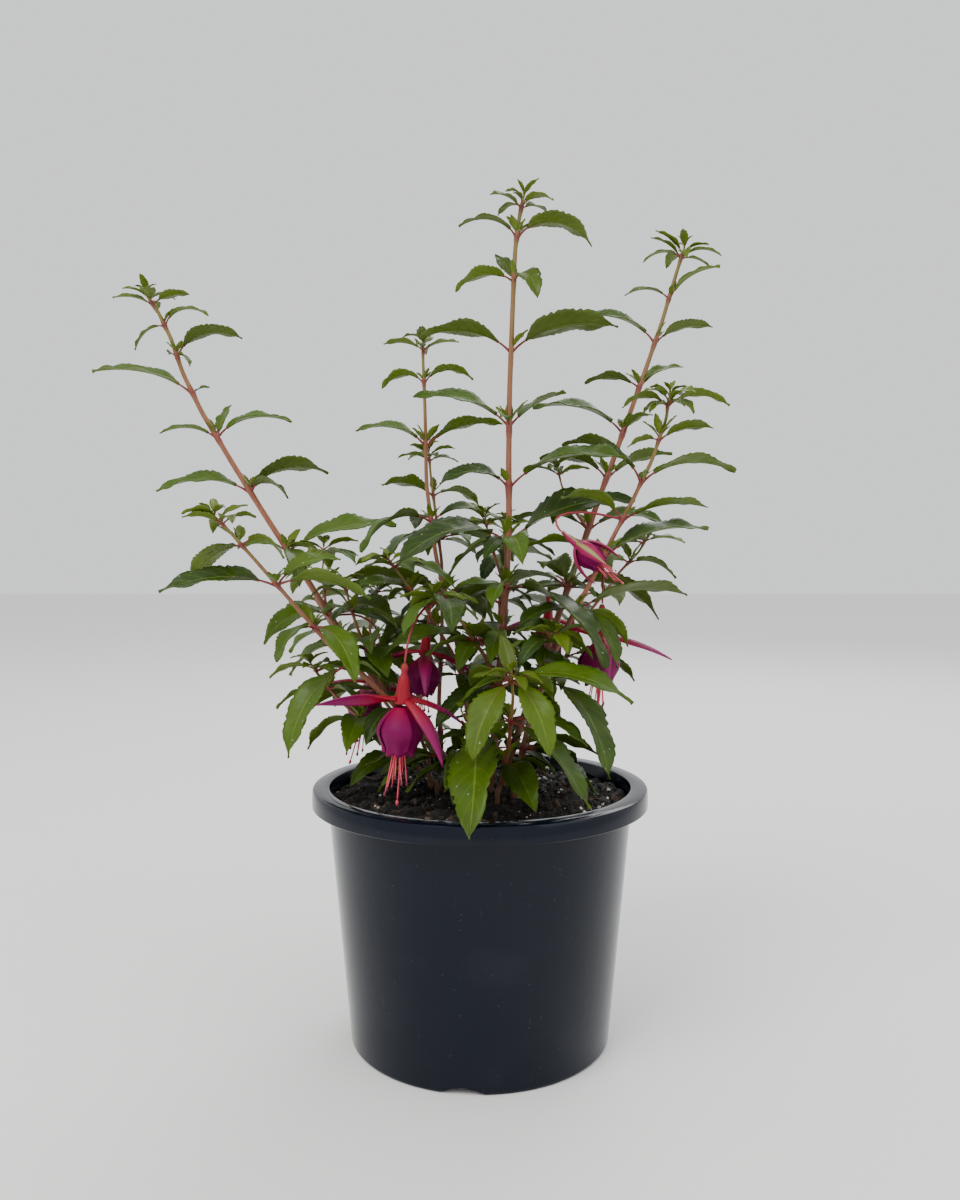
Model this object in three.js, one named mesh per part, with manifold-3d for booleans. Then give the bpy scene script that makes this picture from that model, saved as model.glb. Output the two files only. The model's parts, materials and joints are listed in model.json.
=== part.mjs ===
// A young fuchsia in a round plastic nursery pot.
//
// The frame is in millimetres with +Z up. The origin is the middle of the pot's flat underside,
// and the -Y side is the one that the reference picture shows.
//
// A handful of leafy stems rise from the potting mix. Each stem passes through its joints, where
// pairs or whorls of leaves grow, and ends in a tuft of young leaves. The large leaves are placed
// as the picture shows them, and the others by rule with seeded draws. A leaf that would touch its
// neighbours is swung, raised or shortened until it is clear, and left out if it finds no room.
// Open flowers hang on thin stalks: a red tube with four spread sepals, a purple skirt of four
// rolled petals, and a brush of stamens with a longer style.

import * as THREE from 'three';
import { mergeVertices } from 'three/addons/utils/BufferGeometryUtils.js';
import Module from 'manifold-3d';

const wasm = await Module();
wasm.setup();

// The pot

const RIM_RADIUS = 100;
const POT_HEIGHT = 152;
const BASE_RADIUS = 77.6;
const NECK_RADIUS = 90.4;
const WALL = 1.6;
const RIM_BAND = 10.4;
const RIM_WIDTH = 10.3;
const RIM_ROUND = 1.6;
const BASE_ROUND = 2.2;
const FLOOR = 2;
const POT_SIDES = 30;

const NOTCH_COUNT = 4;
const NOTCH_WIDTH = 26;
const NOTCH_HEIGHT = 4;
const NOTCH_DEPTH = 13;
const FIRST_NOTCH = -97;

// The potting mix

const SEAT_GAP = 0.3;
const HOLE_GAP = 0.36;
const HOLE_SIDES = 6;
const SOIL_TOP = 144;
const SOIL_LUMP = 1.6;
const SOIL_SIDES = 20;
const SOIL_RINGS = [26, 60];
const ROOTED_DEPTH = 16;
const COLLAR_HEIGHT = 150;

// Stems

const STEM_SIDES = 5;
const STEM_TAPER = 0.55;
const TIP_BUD = [[5, 2.2]];
const TIP_LENGTH = 14;

// Leaves: lengths in millimetres, shares of the whole length or width, angles in degrees

const LEAF_WIDTH_SHARE = 0.33;
const PETIOLE_SHARE = 0.15;
const PETIOLE_RADIUS = 0.8;
const LEAF_THICKNESS = 1.2;
const LEAF_FOLD = 14;
const LEAF_STATIONS = [0, 0.15, 0.34, 0.6, 0.84];
const SHORT_STATIONS = [0, 0.16, 0.42, 0.76];
const SHORT_LENGTH = 60;
const SMALL_STATIONS = [0, 0.2, 0.56];
const SMALL_LENGTH = 38;
const YOUNG_STATIONS = [0, 0.5];
const YOUNG_LENGTH = 24;
const ROOT_SHARE = 0.45;
const TUFT_LENGTH = 23;
const USUAL_RISE = 38;
const USUAL_DROOP = 72;
const LOW_DROOP = 24;

// Room kept around things while the leaves are placed

const LEAF_ROOM = 2.5;
const STEM_ROOM = 1.6;
const BALL_SPACING = 4.5;
const RIM_CLEARANCE = 2.5;
const SOIL_CLEARANCE = 5;

// Stems. Joints are the places where leaves grow, from the soil up. Listed leaves are rows of
// joint, azimuth, length, rise and droop, with azimuth 0 to the right and -90 to the front.
// Every other joint gets a whorl by rule, apart from the shaded one next to the soil.
const STEMS = [
  {
    name: 'stem_low_front', root: [10, -22], girth: 1.8, whorl: 3, turn: 0, reach: 60,
    joints: [[14, -24, 165], [18, -50, 200], [17, -68, 222]],
    leaves: [
      [0, -75, 58, 22, 64],
      [1, -55, 74, 2, 62], [1, 170, 30, 30, 60],
      [2, -126, 55, -2, 80], [2, -58, 52, 2, 84], [2, -10, 68, 34, 74], [2, 108, 28, 75, 20],
    ],
  },
  {
    name: 'stem_low_centre', root: [-4, -18], girth: 1.7, whorl: 3, turn: 150, reach: 46,
    joints: [[-4, -22, 172], [-3, -34, 187], [-8, -40, 197]],
    leaves: [[0, 205, 46, 20, 66], [0, -104, 52, 14, 50], [1, -87, 92, 8, 52]],
  },
  {
    name: 'stem_centre', root: [6, 5], girth: 2.9, whorl: 3, turn: 40, reach: 66,
    joints: [
      [8, 4, 165], [11, 2, 214], [14, 0, 245], [15, -1, 268], [17, -2, 295], [17, -4, 330],
      [17, -4, 363], [18, -5, 407], [20, -6, 453], [21, -6, 473], [24, -6, 490],
    ],
    leaves: [
      [1, -105, 62, 8, 72], [1, 30, 50, 10, 70],
      [2, -20, 50, 20, 70], [2, 100, 56, 30, 70], [2, 220, 54, 20, 70],
      [3, -48, 98, 16, 70], [3, -105, 42, 40, 95],
      [4, 215, 82, 43, 86], [4, 8, 84, 51, 56],
      [5, -25, 80, 49, 70], [5, 200, 46, 61, 98],
      [6, 180, 60, 53, 68], [6, 35, 54, 49, 42], [6, -100, 22, 50, 80],
      [7, 180, 58, 53, 74], [7, 0, 65, 53, 70],
      [8, 188, 38, 46, 98], [8, -65, 36, 46, 128], [8, 110, 30, 71, 28],
      [9, 185, 39, 73, 113], [9, 0, 52, 67, 128],
    ],
  },
  {
    name: 'shoot_inner', parent: 'stem_centre', from: 3, girth: 1.2, whorl: 2, turn: 60, reach: 24,
    joints: [[7, 6, 293], [4, 8, 306]],
    leaves: [],
  },
  {
    name: 'branch_front_left', parent: 'stem_centre', from: 1, girth: 1.8, whorl: 2, turn: 20, reach: 56,
    joints: [[-2, -14, 240], [-22, -30, 262]],
    leaves: [[0, 200, 58, 40, 80], [0, -60, 40, 20, 60]],
  },
  {
    name: 'branch_front_right', parent: 'stem_centre', from: 1, girth: 1.6, whorl: 3, turn: 0, reach: 54,
    joints: [[22, -16, 229], [34, -34, 238], [40, -42, 243]],
    leaves: [],
  },
  {
    name: 'stem_mid_left', root: [-2, 20], girth: 2.2, whorl: 3, turn: 80, reach: 62,
    joints: [
      [-4, 22, 161], [-11, 24, 216], [-21, 26, 266], [-32, 28, 307], [-33, 28, 357],
      [-35, 28, 400], [-35, 28, 414],
    ],
    leaves: [
      [2, 188, 70, 38, 52], [2, 20, 44, 40, 60],
      [3, 215, 60, 39, 100], [3, 10, 42, 56, 83], [3, 110, 44, 41, 78],
      [4, 180, 47, 61, 83], [4, 0, 50, 51, 63], [4, 100, 26, 50, 60],
      [5, 175, 31, 66, 128], [5, 5, 35, 73, 113],
    ],
  },
  {
    name: 'branch_mid_left', parent: 'stem_mid_left', from: 1, girth: 1.5, whorl: 3, turn: 30, reach: 54,
    joints: [[-24, 8, 244], [-42, -8, 270], [-50, -12, 282]],
    leaves: [],
  },
  {
    name: 'stem_far_left', root: [-13, 9], girth: 2.7, whorl: 3, turn: 10, reach: 64,
    joints: [
      [-15, 10, 160], [-61, 12, 206], [-92, 14, 253], [-117, 16, 291], [-141, 18, 328],
      [-161, 20, 361], [-177, 20, 389], [-184, 20, 409], [-192, 20, 430], [-199, 20, 441],
    ],
    leaves: [
      [3, 5, 70, 41, 50], [3, -70, 46, 21, 88], [3, 200, 32, 51, 78],
      [4, 180, 58, 43, 70], [4, 10, 52, 71, 98], [4, -35, 36, 61, 118], [4, 95, 22, 60, 60],
      [5, 195, 35, 49, 78], [5, 22, 50, 63, 80], [5, 80, 32, 71, 38],
      [6, 180, 62, 46, 58], [6, 60, 14, 50, 50],
      [7, 0, 46, 77, 106], [7, -50, 20, 20, 80], [7, 150, 20, 40, 30],
      [8, 172, 26, 20, 90], [8, 0, 32, 73, 128],
    ],
  },
  {
    name: 'shoot_left', parent: 'stem_far_left', from: 2, girth: 1.2, whorl: 2, turn: 0, reach: 22,
    joints: [[-96, 14, 267], [-95, 12, 288]],
    leaves: [],
  },
  {
    name: 'branch_left', parent: 'stem_far_left', from: 1, girth: 1.5, whorl: 3, turn: 60, reach: 52,
    joints: [[-68, -2, 232], [-76, -10, 258], [-78, -12, 268]],
    leaves: [],
  },
  {
    name: 'stem_low_left', root: [-26, 2], girth: 1.6, whorl: 3, turn: 80, reach: 50,
    joints: [[-42, -2, 166], [-72, -8, 192], [-90, -12, 212], [-96, -14, 221]],
    leaves: [],
  },
  {
    name: 'stem_front_left', root: [-15, -13], girth: 2.1, whorl: 3, turn: 30, reach: 60,
    joints: [
      [-18, -14, 168], [-48, -28, 203], [-76, -38, 230], [-90, -42, 246], [-112, -48, 273],
      [-132, -52, 297], [-140, -54, 306],
    ],
    leaves: [
      [0, -120, 50, 10, 70], [0, -158, 50, 10, 60],
      [1, -95, 42, 10, 80], [1, 100, 50, 20, 70],
      [2, 215, 66, -8, 78], [2, 186, 48, -14, 72],
      [3, -50, 50, 22, 100], [3, 240, 42, 30, 92], [3, 95, 40, 30, 60],
      [4, 180, 66, 27, 50], [4, 35, 42, 60, 70], [4, -90, 20, 50, 60],
      [5, 143, 50, 1, 68], [5, -25, 32, 41, 118], [5, 170, 20, 30, 50],
    ],
  },
  {
    name: 'stem_front_right', root: [20, -8], girth: 2.2, whorl: 3, turn: 50, reach: 62,
    joints: [
      [24, -10, 168], [37, -14, 219], [56, -16, 256], [72, -18, 290], [82, -19, 309],
      [92, -20, 329], [104, -22, 357], [107, -22, 374],
    ],
    leaves: [
      [0, -42, 58, 16, 62], [1, -48, 76, -5, 84], [1, 60, 46, 20, 60],
      [2, 10, 72, 40, 60], [2, -42, 46, 10, 100], [2, 20, 46, -5, 85],
      [3, 0, 68, 51, 60], [3, 170, 50, 51, 78],
      [4, 4, 54, 39, 56], [4, 190, 42, 56, 88],
      [5, 180, 60, 69, 88], [5, 0, 58, 53, 78], [5, -95, 20, 50, 60],
      [6, 0, 34, 51, 64], [6, 205, 20, 20, 60],
      [7, 180, 29, 63, 113], [7, 0, 37, 56, 92], [7, -70, 30, 56, 88],
    ],
  },
  {
    name: 'stem_far_right', root: [15, 21], girth: 2.8, whorl: 3, turn: 0, reach: 60,
    joints: [
      [17, 24, 159], [41, 28, 226], [55, 32, 269], [68, 34, 304], [80, 35, 340], [89, 36, 362],
      [100, 36, 396], [109, 36, 419], [118, 36, 450], [125, 36, 473],
    ],
    leaves: [
      [3, 190, 54, 51, 78], [3, 0, 50, 51, 78],
      [4, 180, 46, 61, 82], [4, 8, 44, 53, 56],
      [5, 180, 60, 59, 72], [5, -60, 28, 61, 74], [5, 90, 22, 60, 50],
      [6, 180, 35, 45, 68], [6, 20, 37, 63, 64],
      [7, 180, 53, 61, 78], [7, 0, 40, 59, 68],
      [8, 185, 30, 55, 88], [8, -30, 37, 73, 80],
      [9, 180, 26, 55, 100], [9, 0, 27, 62, 100],
    ],
  },
  {
    name: 'shoot_right', parent: 'stem_far_right', from: 3, girth: 1.3, whorl: 2, turn: 80, reach: 26,
    joints: [[54, 26, 323], [49, 24, 337]],
    leaves: [],
  },
  {
    name: 'stem_back_left', root: [-22, 36], girth: 1.9, whorl: 2, turn: 30, reach: 52,
    joints: [
      [-26, 40, 170], [-26, 52, 218], [-24, 60, 262], [-27, 64, 300], [-31, 64, 328], [-33, 64, 350],
    ],
    leaves: [],
  },
  {
    name: 'stem_thin_left', root: [-32, 27], girth: 1.6, whorl: 2, turn: 20, reach: 46,
    joints: [[-36, 40, 172], [-56, 58, 204], [-73, 62, 229], [-70, 64, 250], [-68, 64, 264]],
    leaves: [],
  },
  {
    name: 'stem_back_right', root: [26, 32], girth: 1.7, whorl: 2, turn: 70, reach: 54,
    joints: [[30, 36, 172], [56, 46, 226], [80, 52, 266], [98, 54, 284], [106, 54, 296]],
    leaves: [],
  },
  {
    name: 'stem_rear', root: [2, 42], girth: 1.9, whorl: 2, turn: 0, reach: 56,
    joints: [[4, 52, 176], [10, 74, 218], [14, 92, 256], [16, 102, 288], [17, 106, 306]],
    leaves: [],
  },
  {
    name: 'stem_rear_left', root: [-30, 12], girth: 1.8, whorl: 2, turn: 45, reach: 54,
    joints: [[-40, 26, 170], [-74, 84, 200], [-100, 104, 232], [-116, 112, 258], [-122, 114, 270]],
    leaves: [],
  },
];

// Flowers. The mouth is where tube, sepals and petals meet. Lean is the azimuth and angle by
// which the flower hangs out of plumb. Sepals are rows of azimuth, rise, droop and any roll.
const BLOOMS = [
  {
    name: 'bloom_front', stem: 'branch_front_left', joint: 1, mouth: [-42, -62, 209],
    lean: [190, 4], size: 1, turn: 20,
    sepals: [[186, 6, 22, 48], [-38, -12, 62], [34, 2, 40], [84, 10, 30]],
  },
  {
    name: 'bloom_left', stem: 'stem_far_left', joint: 2, mouth: [-70, 40, 205],
    lean: [200, 16], size: 0.92, turn: 50,
    sepals: [[0, 10, 30], [95, 6, 36], [170, 0, 40], [-90, 0, 60]],
  },
  {
    name: 'bloom_right', stem: 'stem_front_right', joint: 3, mouth: [73, 10, 237],
    lean: [180, 3], size: 1, turn: 0,
    sepals: [[-4, 4, 34], [85, 6, 36], [166, 24, 30], [-90, -6, 62]],
  },
  {
    name: 'bloom_inner_left', stem: 'stem_mid_left', joint: 2, mouth: [-33, -3, 229],
    lean: [200, 6], size: 0.85, turn: 70,
    sepals: [[5, 4, 46], [160, 4, 46], [85, 0, 50], [-85, -4, 60]],
  },
  {
    name: 'bloom_inner_right', stem: 'stem_far_right', joint: 2, mouth: [45, 66, 244],
    lean: [90, 8], size: 0.85, turn: 30,
    sepals: [[0, 0, 40], [95, 0, 44], [180, 8, 44], [-80, -4, 64]],
  },
  {
    name: 'bloom_opening', stem: 'stem_front_right', joint: 4, mouth: [56, -30, 294],
    lean: [-20, 50], size: 0.6, turn: 10,
    sepals: [[0, -20, 84], [90, -20, 84], [176, -20, 84], [-90, -20, 84]],
  },
];

// Closed buds on arched stalks: stem, joint, azimuth of the stalk and its length.
const BUDS = [
  ['stem_back_right', 2, -150, 24],
  ['stem_rear', 2, 120, 24],
];

// Flower parts for size 1, as distances below and radii around the mouth

const OVARY_TOP = 22;
const STALK_GAP = 0.4;
const PART_GAP = 0.34;
const STALK_RADIUS = 0.8;
const TUBE = [[22, 1.3], [20, 2.1], [16.5, 1.6], [12, 3], [0, 4.4]];
const SEPAL_LENGTH = 44;
const SEPAL_HALF_WIDTH = 5.2;
const SEPAL_ROOT = [2.4, 2.4];
const SEPAL_STATIONS = [0, 0.3, 0.66];
const COLLAR_DEPTH = 2.2;
const COLLAR_RADIUS = 3.8;
const PETAL_COUNT = 4;
const PETAL_THICKNESS = 0.8;
const PETAL_STEP = 1.5;
const PETAL_EDGES = [[0, 0], [0.45, 0.7], [0.9, 1]];
const PETAL_SCALLOP = 10;
const SKIRT = [[9, 8.6], [17.5, 12.2]];
const SKIRT_HEM = [27, 10];
const DISC_DEPTH = 3.9;
const DISC_RADIUS = 2;
const STAMEN_COUNT = 5;
const STYLE_LENGTH = 56;

const LOOKS = {
  pot: { color: '#161d27', roughness: 0.3, metalness: 0 },
  soil: { color: '#17120f', roughness: 0.95, metalness: 0 },
  foliage: { color: '#3f6a1c', roughness: 0.5, metalness: 0 },
  sepals: { color: '#c2163a', roughness: 0.45, metalness: 0 },
  petals: { color: '#5c1070', roughness: 0.5, metalness: 0 },
  stamens: { color: '#e0486a', roughness: 0.5, metalness: 0 },
  bud: { color: '#b23a52', roughness: 0.5, metalness: 0 },
};

const degrees = (angle) => (angle * Math.PI) / 180;
const point = (x = 0, y = 0, z = 0) => new THREE.Vector3(x, y, z);
const UP = point(0, 0, 1);

// A fixed sequence of draws, so that the plant grows the same way each time.
let seed = 7301;
function draw(low, high) {
  seed = (seed * 16807) % 2147483647;
  return low + ((high - low) * seed) / 2147483647;
}

// Solids

function solidFrom(positions, indices) {
  return new wasm.Manifold(
    new wasm.Mesh({
      numProp: 3,
      vertProperties: new Float32Array(positions),
      triVerts: new Uint32Array(indices),
    }),
  );
}

function solidOf(geometry) {
  const bare = geometry.clone();
  bare.deleteAttribute('normal');
  bare.deleteAttribute('uv');
  const merged = mergeVertices(bare, 1e-4);
  return solidFrom(merged.attributes.position.array, merged.index.array);
}

// Triangles that close a ring of points, in strips across it.
function lid(count, first, facesBack) {
  const triangles = [];
  for (let low = 0, high = count - 1; high - low > 1; low++, high--) {
    triangles.push([low, low + 1, high]);
    if (high - low > 2) triangles.push([low + 1, high - 1, high]);
  }
  return triangles.flatMap(([a, b, c]) => (facesBack ? [a, c, b] : [a, b, c]).map((i) => first + i));
}

// A closed skin over rings of points that turn anticlockwise about the way they run. Both halves
// of a flat ring are split alike, so that thin blades stay clear of their own back.
function loft(rings, tip) {
  const count = rings[0].length;
  const positions = rings.flat().flatMap((p) => p.toArray());
  const indices = lid(count, 0, true);
  for (let first = 0; first < (rings.length - 1) * count; first += count) {
    for (let i = 0; i < count; i++) {
      const [a, b] = [first + i, first + ((i + 1) % count)];
      if (i < count / 2) indices.push(a, b, a + count, b, b + count, a + count);
      else indices.push(a, b, b + count, a, b + count, a + count);
    }
  }
  const last = (rings.length - 1) * count;
  if (!tip) return solidFrom(positions, [...indices, ...lid(count, last, false)]);
  const end = positions.push(...tip.toArray()) / 3 - 1;
  for (let i = 0; i < count; i++) indices.push(last + i, last + ((i + 1) % count), end);
  return solidFrom(positions, indices);
}

// A round rod along a line of points, with a radius at each of them.
function rod(line, radii, sides, tip) {
  const run = line.at(-1).clone().sub(line[0]).normalize();
  const reference = Math.abs(run.y) < 0.7 ? point(0, 1, 0) : point(1, 0, 0);
  const rings = line.map((centre, i) => {
    const ahead = line[Math.min(i + 1, line.length - 1)];
    const along = ahead.clone().sub(line[Math.max(i - 1, 0)]).normalize();
    const across = reference.clone().cross(along).normalize();
    const over = along.clone().cross(across);
    return Array.from({ length: sides }, (_, k) => {
      const turn = (2 * Math.PI * k) / sides;
      const rim = centre.clone().addScaledVector(across, radii[i] * Math.cos(turn));
      return rim.addScaledVector(over, radii[i] * Math.sin(turn));
    });
  });
  return loft(rings, tip);
}

function lathe(profile, sides) {
  const outline = profile.map(([r, z]) => new THREE.Vector2(r, z));
  return new THREE.LatheGeometry(outline, sides).rotateX(Math.PI / 2);
}

const group = new THREE.Group();

function addMesh(name, solid, look) {
  const { vertProperties, triVerts } = solid.getMesh();
  const geometry = new THREE.BufferGeometry();
  geometry.setAttribute('position', new THREE.BufferAttribute(vertProperties, 3));
  geometry.setIndex(new THREE.BufferAttribute(triVerts, 1));
  const mesh = new THREE.Mesh(geometry, new THREE.MeshStandardMaterial(look));
  mesh.name = name;
  group.add(mesh);
}

// The pot is one moulding with a flat floor, a tapered wall, a turned-down rim and drain notches.
function makePot() {
  const flange = POT_HEIGHT - WALL;
  const bandFoot = POT_HEIGHT - RIM_BAND;
  const profile = [
    [0, 0],
    [BASE_RADIUS - BASE_ROUND, 0],
    [BASE_RADIUS, BASE_ROUND],
    [NECK_RADIUS, bandFoot],
    [NECK_RADIUS + 0.7, flange],
    [RIM_RADIUS - WALL - 0.3, flange],
    [RIM_RADIUS - WALL, bandFoot],
    [RIM_RADIUS, bandFoot],
    [RIM_RADIUS - 0.2, POT_HEIGHT - RIM_ROUND],
    [RIM_RADIUS - RIM_ROUND, POT_HEIGHT],
    [RIM_RADIUS - RIM_WIDTH + 0.6, POT_HEIGHT],
    [RIM_RADIUS - RIM_WIDTH, POT_HEIGHT - 0.6],
    [BASE_RADIUS - WALL, FLOOR + BASE_ROUND],
    [BASE_RADIUS - WALL - BASE_ROUND, FLOOR],
    [0, FLOOR],
  ];
  let pot = solidOf(lathe(profile, POT_SIDES));
  const archRadius = (NOTCH_WIDTH ** 2 / 4 + NOTCH_HEIGHT ** 2) / (2 * NOTCH_HEIGHT);
  for (let k = 0; k < NOTCH_COUNT; k++) {
    const arch = new THREE.CylinderGeometry(archRadius, archRadius, NOTCH_DEPTH * 2, 32);
    arch.rotateZ(Math.PI / 2);
    arch.translate(BASE_RADIUS, 0, NOTCH_HEIGHT - archRadius);
    arch.rotateZ(degrees(FIRST_NOTCH + (360 * k) / NOTCH_COUNT));
    pot = pot.subtract(solidOf(arch));
  }
  return pot;
}

// The potting mix fills the pot to a lumpy surface, with a plain hole for each stem.
function soilHeight(x, y) {
  const lumps = Math.sin(x * 0.13 + 1) * Math.cos(y * 0.17) + Math.sin(x * 0.31 - y * 0.27 + 2);
  return SOIL_TOP + SOIL_LUMP * lumps;
}

function makeSoil() {
  const foot = FLOOR + SEAT_GAP;
  const footRadius = BASE_RADIUS - WALL - BASE_ROUND - 1;
  const wallSlope = (RIM_RADIUS - RIM_WIDTH - BASE_RADIUS + WALL) / (POT_HEIGHT - FLOOR);
  const innerRadius = (z) => BASE_RADIUS - WALL + wallSlope * (z - FLOOR - BASE_ROUND) - 0.85;
  const profile = [
    [0, foot],
    [footRadius, foot],
    [innerRadius(foot + 8), foot + 8],
    [innerRadius(SOIL_TOP - 5), SOIL_TOP - 5],
    ...SOIL_RINGS.toReversed().map((r) => [r, SOIL_TOP]),
    [0, SOIL_TOP],
  ];
  const geometry = lathe(profile, SOIL_SIDES);
  const position = geometry.attributes.position;
  for (let i = 0; i < position.count; i++) {
    if (position.getZ(i) < SOIL_TOP - 1) continue;
    position.setZ(i, soilHeight(position.getX(i), position.getY(i)));
  }
  let soil = solidOf(geometry);
  for (const stem of STEMS.filter((each) => each.root)) {
    const radius = (stem.girth + HOLE_GAP) / Math.cos(Math.PI / HOLE_SIDES);
    const depth = ROOTED_DEPTH + HOLE_GAP;
    const height = depth + 3 * SOIL_LUMP;
    const hole = new THREE.CylinderGeometry(radius, radius, height, HOLE_SIDES).rotateX(Math.PI / 2);
    hole.translate(stem.root[0], stem.root[1], SOIL_TOP - depth + height / 2);
    soil = soil.subtract(solidOf(hole));
  }
  return soil;
}

// Room: what stands already is remembered as groups of small balls.

const taken = [];

function gather(balls, owner) {
  const centre = point();
  for (const ball of balls) centre.add(ball.at);
  centre.divideScalar(balls.length);
  let radius = 0;
  for (const ball of balls) radius = Math.max(radius, centre.distanceTo(ball.at) + ball.room);
  return { balls, owner, centre, radius };
}

function inPot({ at }) {
  const r = Math.hypot(at.x, at.y);
  if (r > RIM_RADIUS + 3.5) return false;
  if (r > RIM_RADIUS - RIM_WIDTH - 4) return at.z < POT_HEIGHT + RIM_CLEARANCE;
  return at.z < SOIL_TOP + SOIL_CLEARANCE;
}

// Leaves of one stem may meet near their roots.
function touches(ball, other, isKin) {
  if (isKin && (ball.share < 0.4 || other.share < 0.4)) return false;
  return ball.at.distanceTo(other.at) < ball.room + other.room;
}

function isClear(mine) {
  if (mine.balls.some(inPot)) return false;
  for (const theirs of taken) {
    if (theirs.centre.distanceTo(mine.centre) > theirs.radius + mine.radius) continue;
    const isKin = theirs.owner === mine.owner;
    for (const ball of mine.balls) {
      if (theirs.balls.some((other) => touches(ball, other, isKin))) return false;
    }
  }
  return true;
}

// Blades: leaves and sepals share one rule for their middle line.

const LINE_STEPS = 20;

function bladeAngles(blade, share) {
  return {
    rise: degrees(blade.rise - blade.droop * share ** 0.7),
    heading: degrees(blade.azimuth + blade.sway * share),
    roll: degrees(blade.roll * Math.min(1, 2.5 * share)),
  };
}

function bladeLine(blade) {
  const at = blade.root.clone();
  const line = [at.clone()];
  const step = blade.length / LINE_STEPS;
  for (let i = 0; i < LINE_STEPS; i++) {
    const { rise, heading } = bladeAngles(blade, (i + 0.5) / LINE_STEPS);
    at.x += step * Math.cos(rise) * Math.cos(heading);
    at.y += step * Math.cos(rise) * Math.sin(heading);
    at.z += step * Math.sin(rise);
    line.push(at.clone());
  }
  return line;
}

// The middle of a blade at a share of its length, with its sideways and upward directions.
function bladeFrame(blade, line, share) {
  const place = share * LINE_STEPS;
  const i = Math.min(Math.floor(place), LINE_STEPS - 1);
  const at = line[i].clone().lerp(line[i + 1], place - i);
  const { rise, heading, roll } = bladeAngles(blade, share);
  const level = point(-Math.sin(heading), Math.cos(heading), 0);
  const normal = point(
    -Math.sin(rise) * Math.cos(heading),
    -Math.sin(rise) * Math.sin(heading),
    Math.cos(rise),
  );
  const side = level.clone().multiplyScalar(Math.cos(roll)).addScaledVector(normal, Math.sin(roll));
  const over = normal.multiplyScalar(Math.cos(roll)).addScaledVector(level, -Math.sin(roll));
  return { at, side, over };
}

// A blade as a loft of flat four-cornered rings, folded up along its middle. The stalk is straight
// and its two rings are alike.
function bladeSolid(blade, shape, place = (p) => p) {
  const line = bladeLine(blade);
  const rings = shape.stations.map((share, station) => {
    const { side, over } = bladeFrame(blade, line, Math.max(share, shape.stations[1]));
    const { at } = bladeFrame(blade, line, share);
    const width = shape.halfWidth * shape.outline(share);
    const reach = Math.max(shape.stalk, width * (station % 2 ? 1.05 : 0.96));
    const isStalk = reach === shape.stalk;
    const thick = isStalk ? shape.stalk : shape.thickness / 2;
    const lift = isStalk ? 0 : reach * Math.sin(degrees(shape.fold));
    const edge = (hand) => at.clone().addScaledVector(side, hand * reach).addScaledVector(over, lift);
    const middle = (hand) => at.clone().addScaledVector(over, hand * thick);
    return [edge(1), middle(1), edge(-1), middle(-1)].map(place);
  });
  return loft(rings, place(line.at(-1)));
}

function bladeBalls(blade, shape, room, place = (p) => p) {
  const line = bladeLine(blade);
  const balls = [];
  const count = Math.ceil(blade.length / BALL_SPACING);
  for (let i = 1; i <= count; i++) {
    const share = i / count;
    const { at, side, over } = bladeFrame(blade, line, share);
    const reach = shape.halfWidth * shape.outline(share);
    const across = Math.ceil(reach / BALL_SPACING);
    for (let j = -across; j <= across; j++) {
      const out = across === 0 ? 0 : (reach * j) / across;
      const ball = at.clone().addScaledVector(side, out);
      ball.addScaledVector(over, Math.abs(out) * Math.sin(degrees(shape.fold)));
      balls.push({ at: place(ball), share, room });
    }
  }
  return balls;
}

// Leaves

function leafOutline(share) {
  if (share <= PETIOLE_SHARE || share >= 1) return 0;
  const t = (share - PETIOLE_SHARE) / (1 - PETIOLE_SHARE);
  return Math.sin(Math.PI * t ** 0.8) ** 0.9;
}

function leafShape(leaf) {
  let stations = LEAF_STATIONS;
  if (leaf.length < SHORT_LENGTH) stations = SHORT_STATIONS;
  if (leaf.length < SMALL_LENGTH) stations = SMALL_STATIONS;
  if (leaf.length < YOUNG_LENGTH) stations = YOUNG_STATIONS;
  return {
    stations,
    outline: leafOutline,
    halfWidth: (leaf.length * LEAF_WIDTH_SHARE * leaf.breadth) / 2,
    stalk: Math.min(PETIOLE_RADIUS, 0.45 + leaf.length * 0.008),
    thickness: LEAF_THICKNESS,
    fold: LEAF_FOLD,
  };
}

// Other placings that are tried in turn for a leaf: swing, lift and share of the length.
const PLACINGS = [
  [0, 0, 1], [10, 0, 1], [-10, 0, 1], [0, 12, 1], [0, -12, 1], [18, 8, 1], [-18, 8, 1],
  [20, -10, 1], [-20, -10, 1], [0, 24, 0.95], [30, 10, 0.9], [-30, 10, 0.9], [0, -24, 0.9],
  [14, 32, 0.85], [-14, 32, 0.85], [42, 0, 0.8], [-42, 0, 0.8], [0, 42, 0.75], [24, 24, 0.6],
  [-24, 24, 0.6], [0, 10, 0.45],
];

function growLeaf(wanted, owner, leaves) {
  for (const [swing, lift, share] of PLACINGS) {
    const leaf = { ...wanted };
    leaf.azimuth += swing;
    leaf.rise += lift;
    leaf.length *= share;
    const room = gather(bladeBalls(leaf, leafShape(leaf), LEAF_ROOM), owner);
    if (!isClear(room)) continue;
    taken.push(room);
    leaves.push(leaf);
    return;
  }
}

// A leaf at a joint, with a little chance in it.
function leafAt(stem, joint, azimuth, length, rise, droop, play) {
  return {
    root: leafRoot(stem, joint, azimuth),
    azimuth: azimuth + draw(-8, 8) * play,
    length: length * (1 + draw(-0.08, 0.08) * play),
    rise: rise + draw(-6, 6) * play,
    droop: droop + draw(-10, 10) * play,
    sway: draw(-16, 16),
    roll: (draw(0, 1) < 0.5 ? -1 : 1) * draw(8, 30),
    breadth: draw(0.9, 1.1),
  };
}

// Stems

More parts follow.
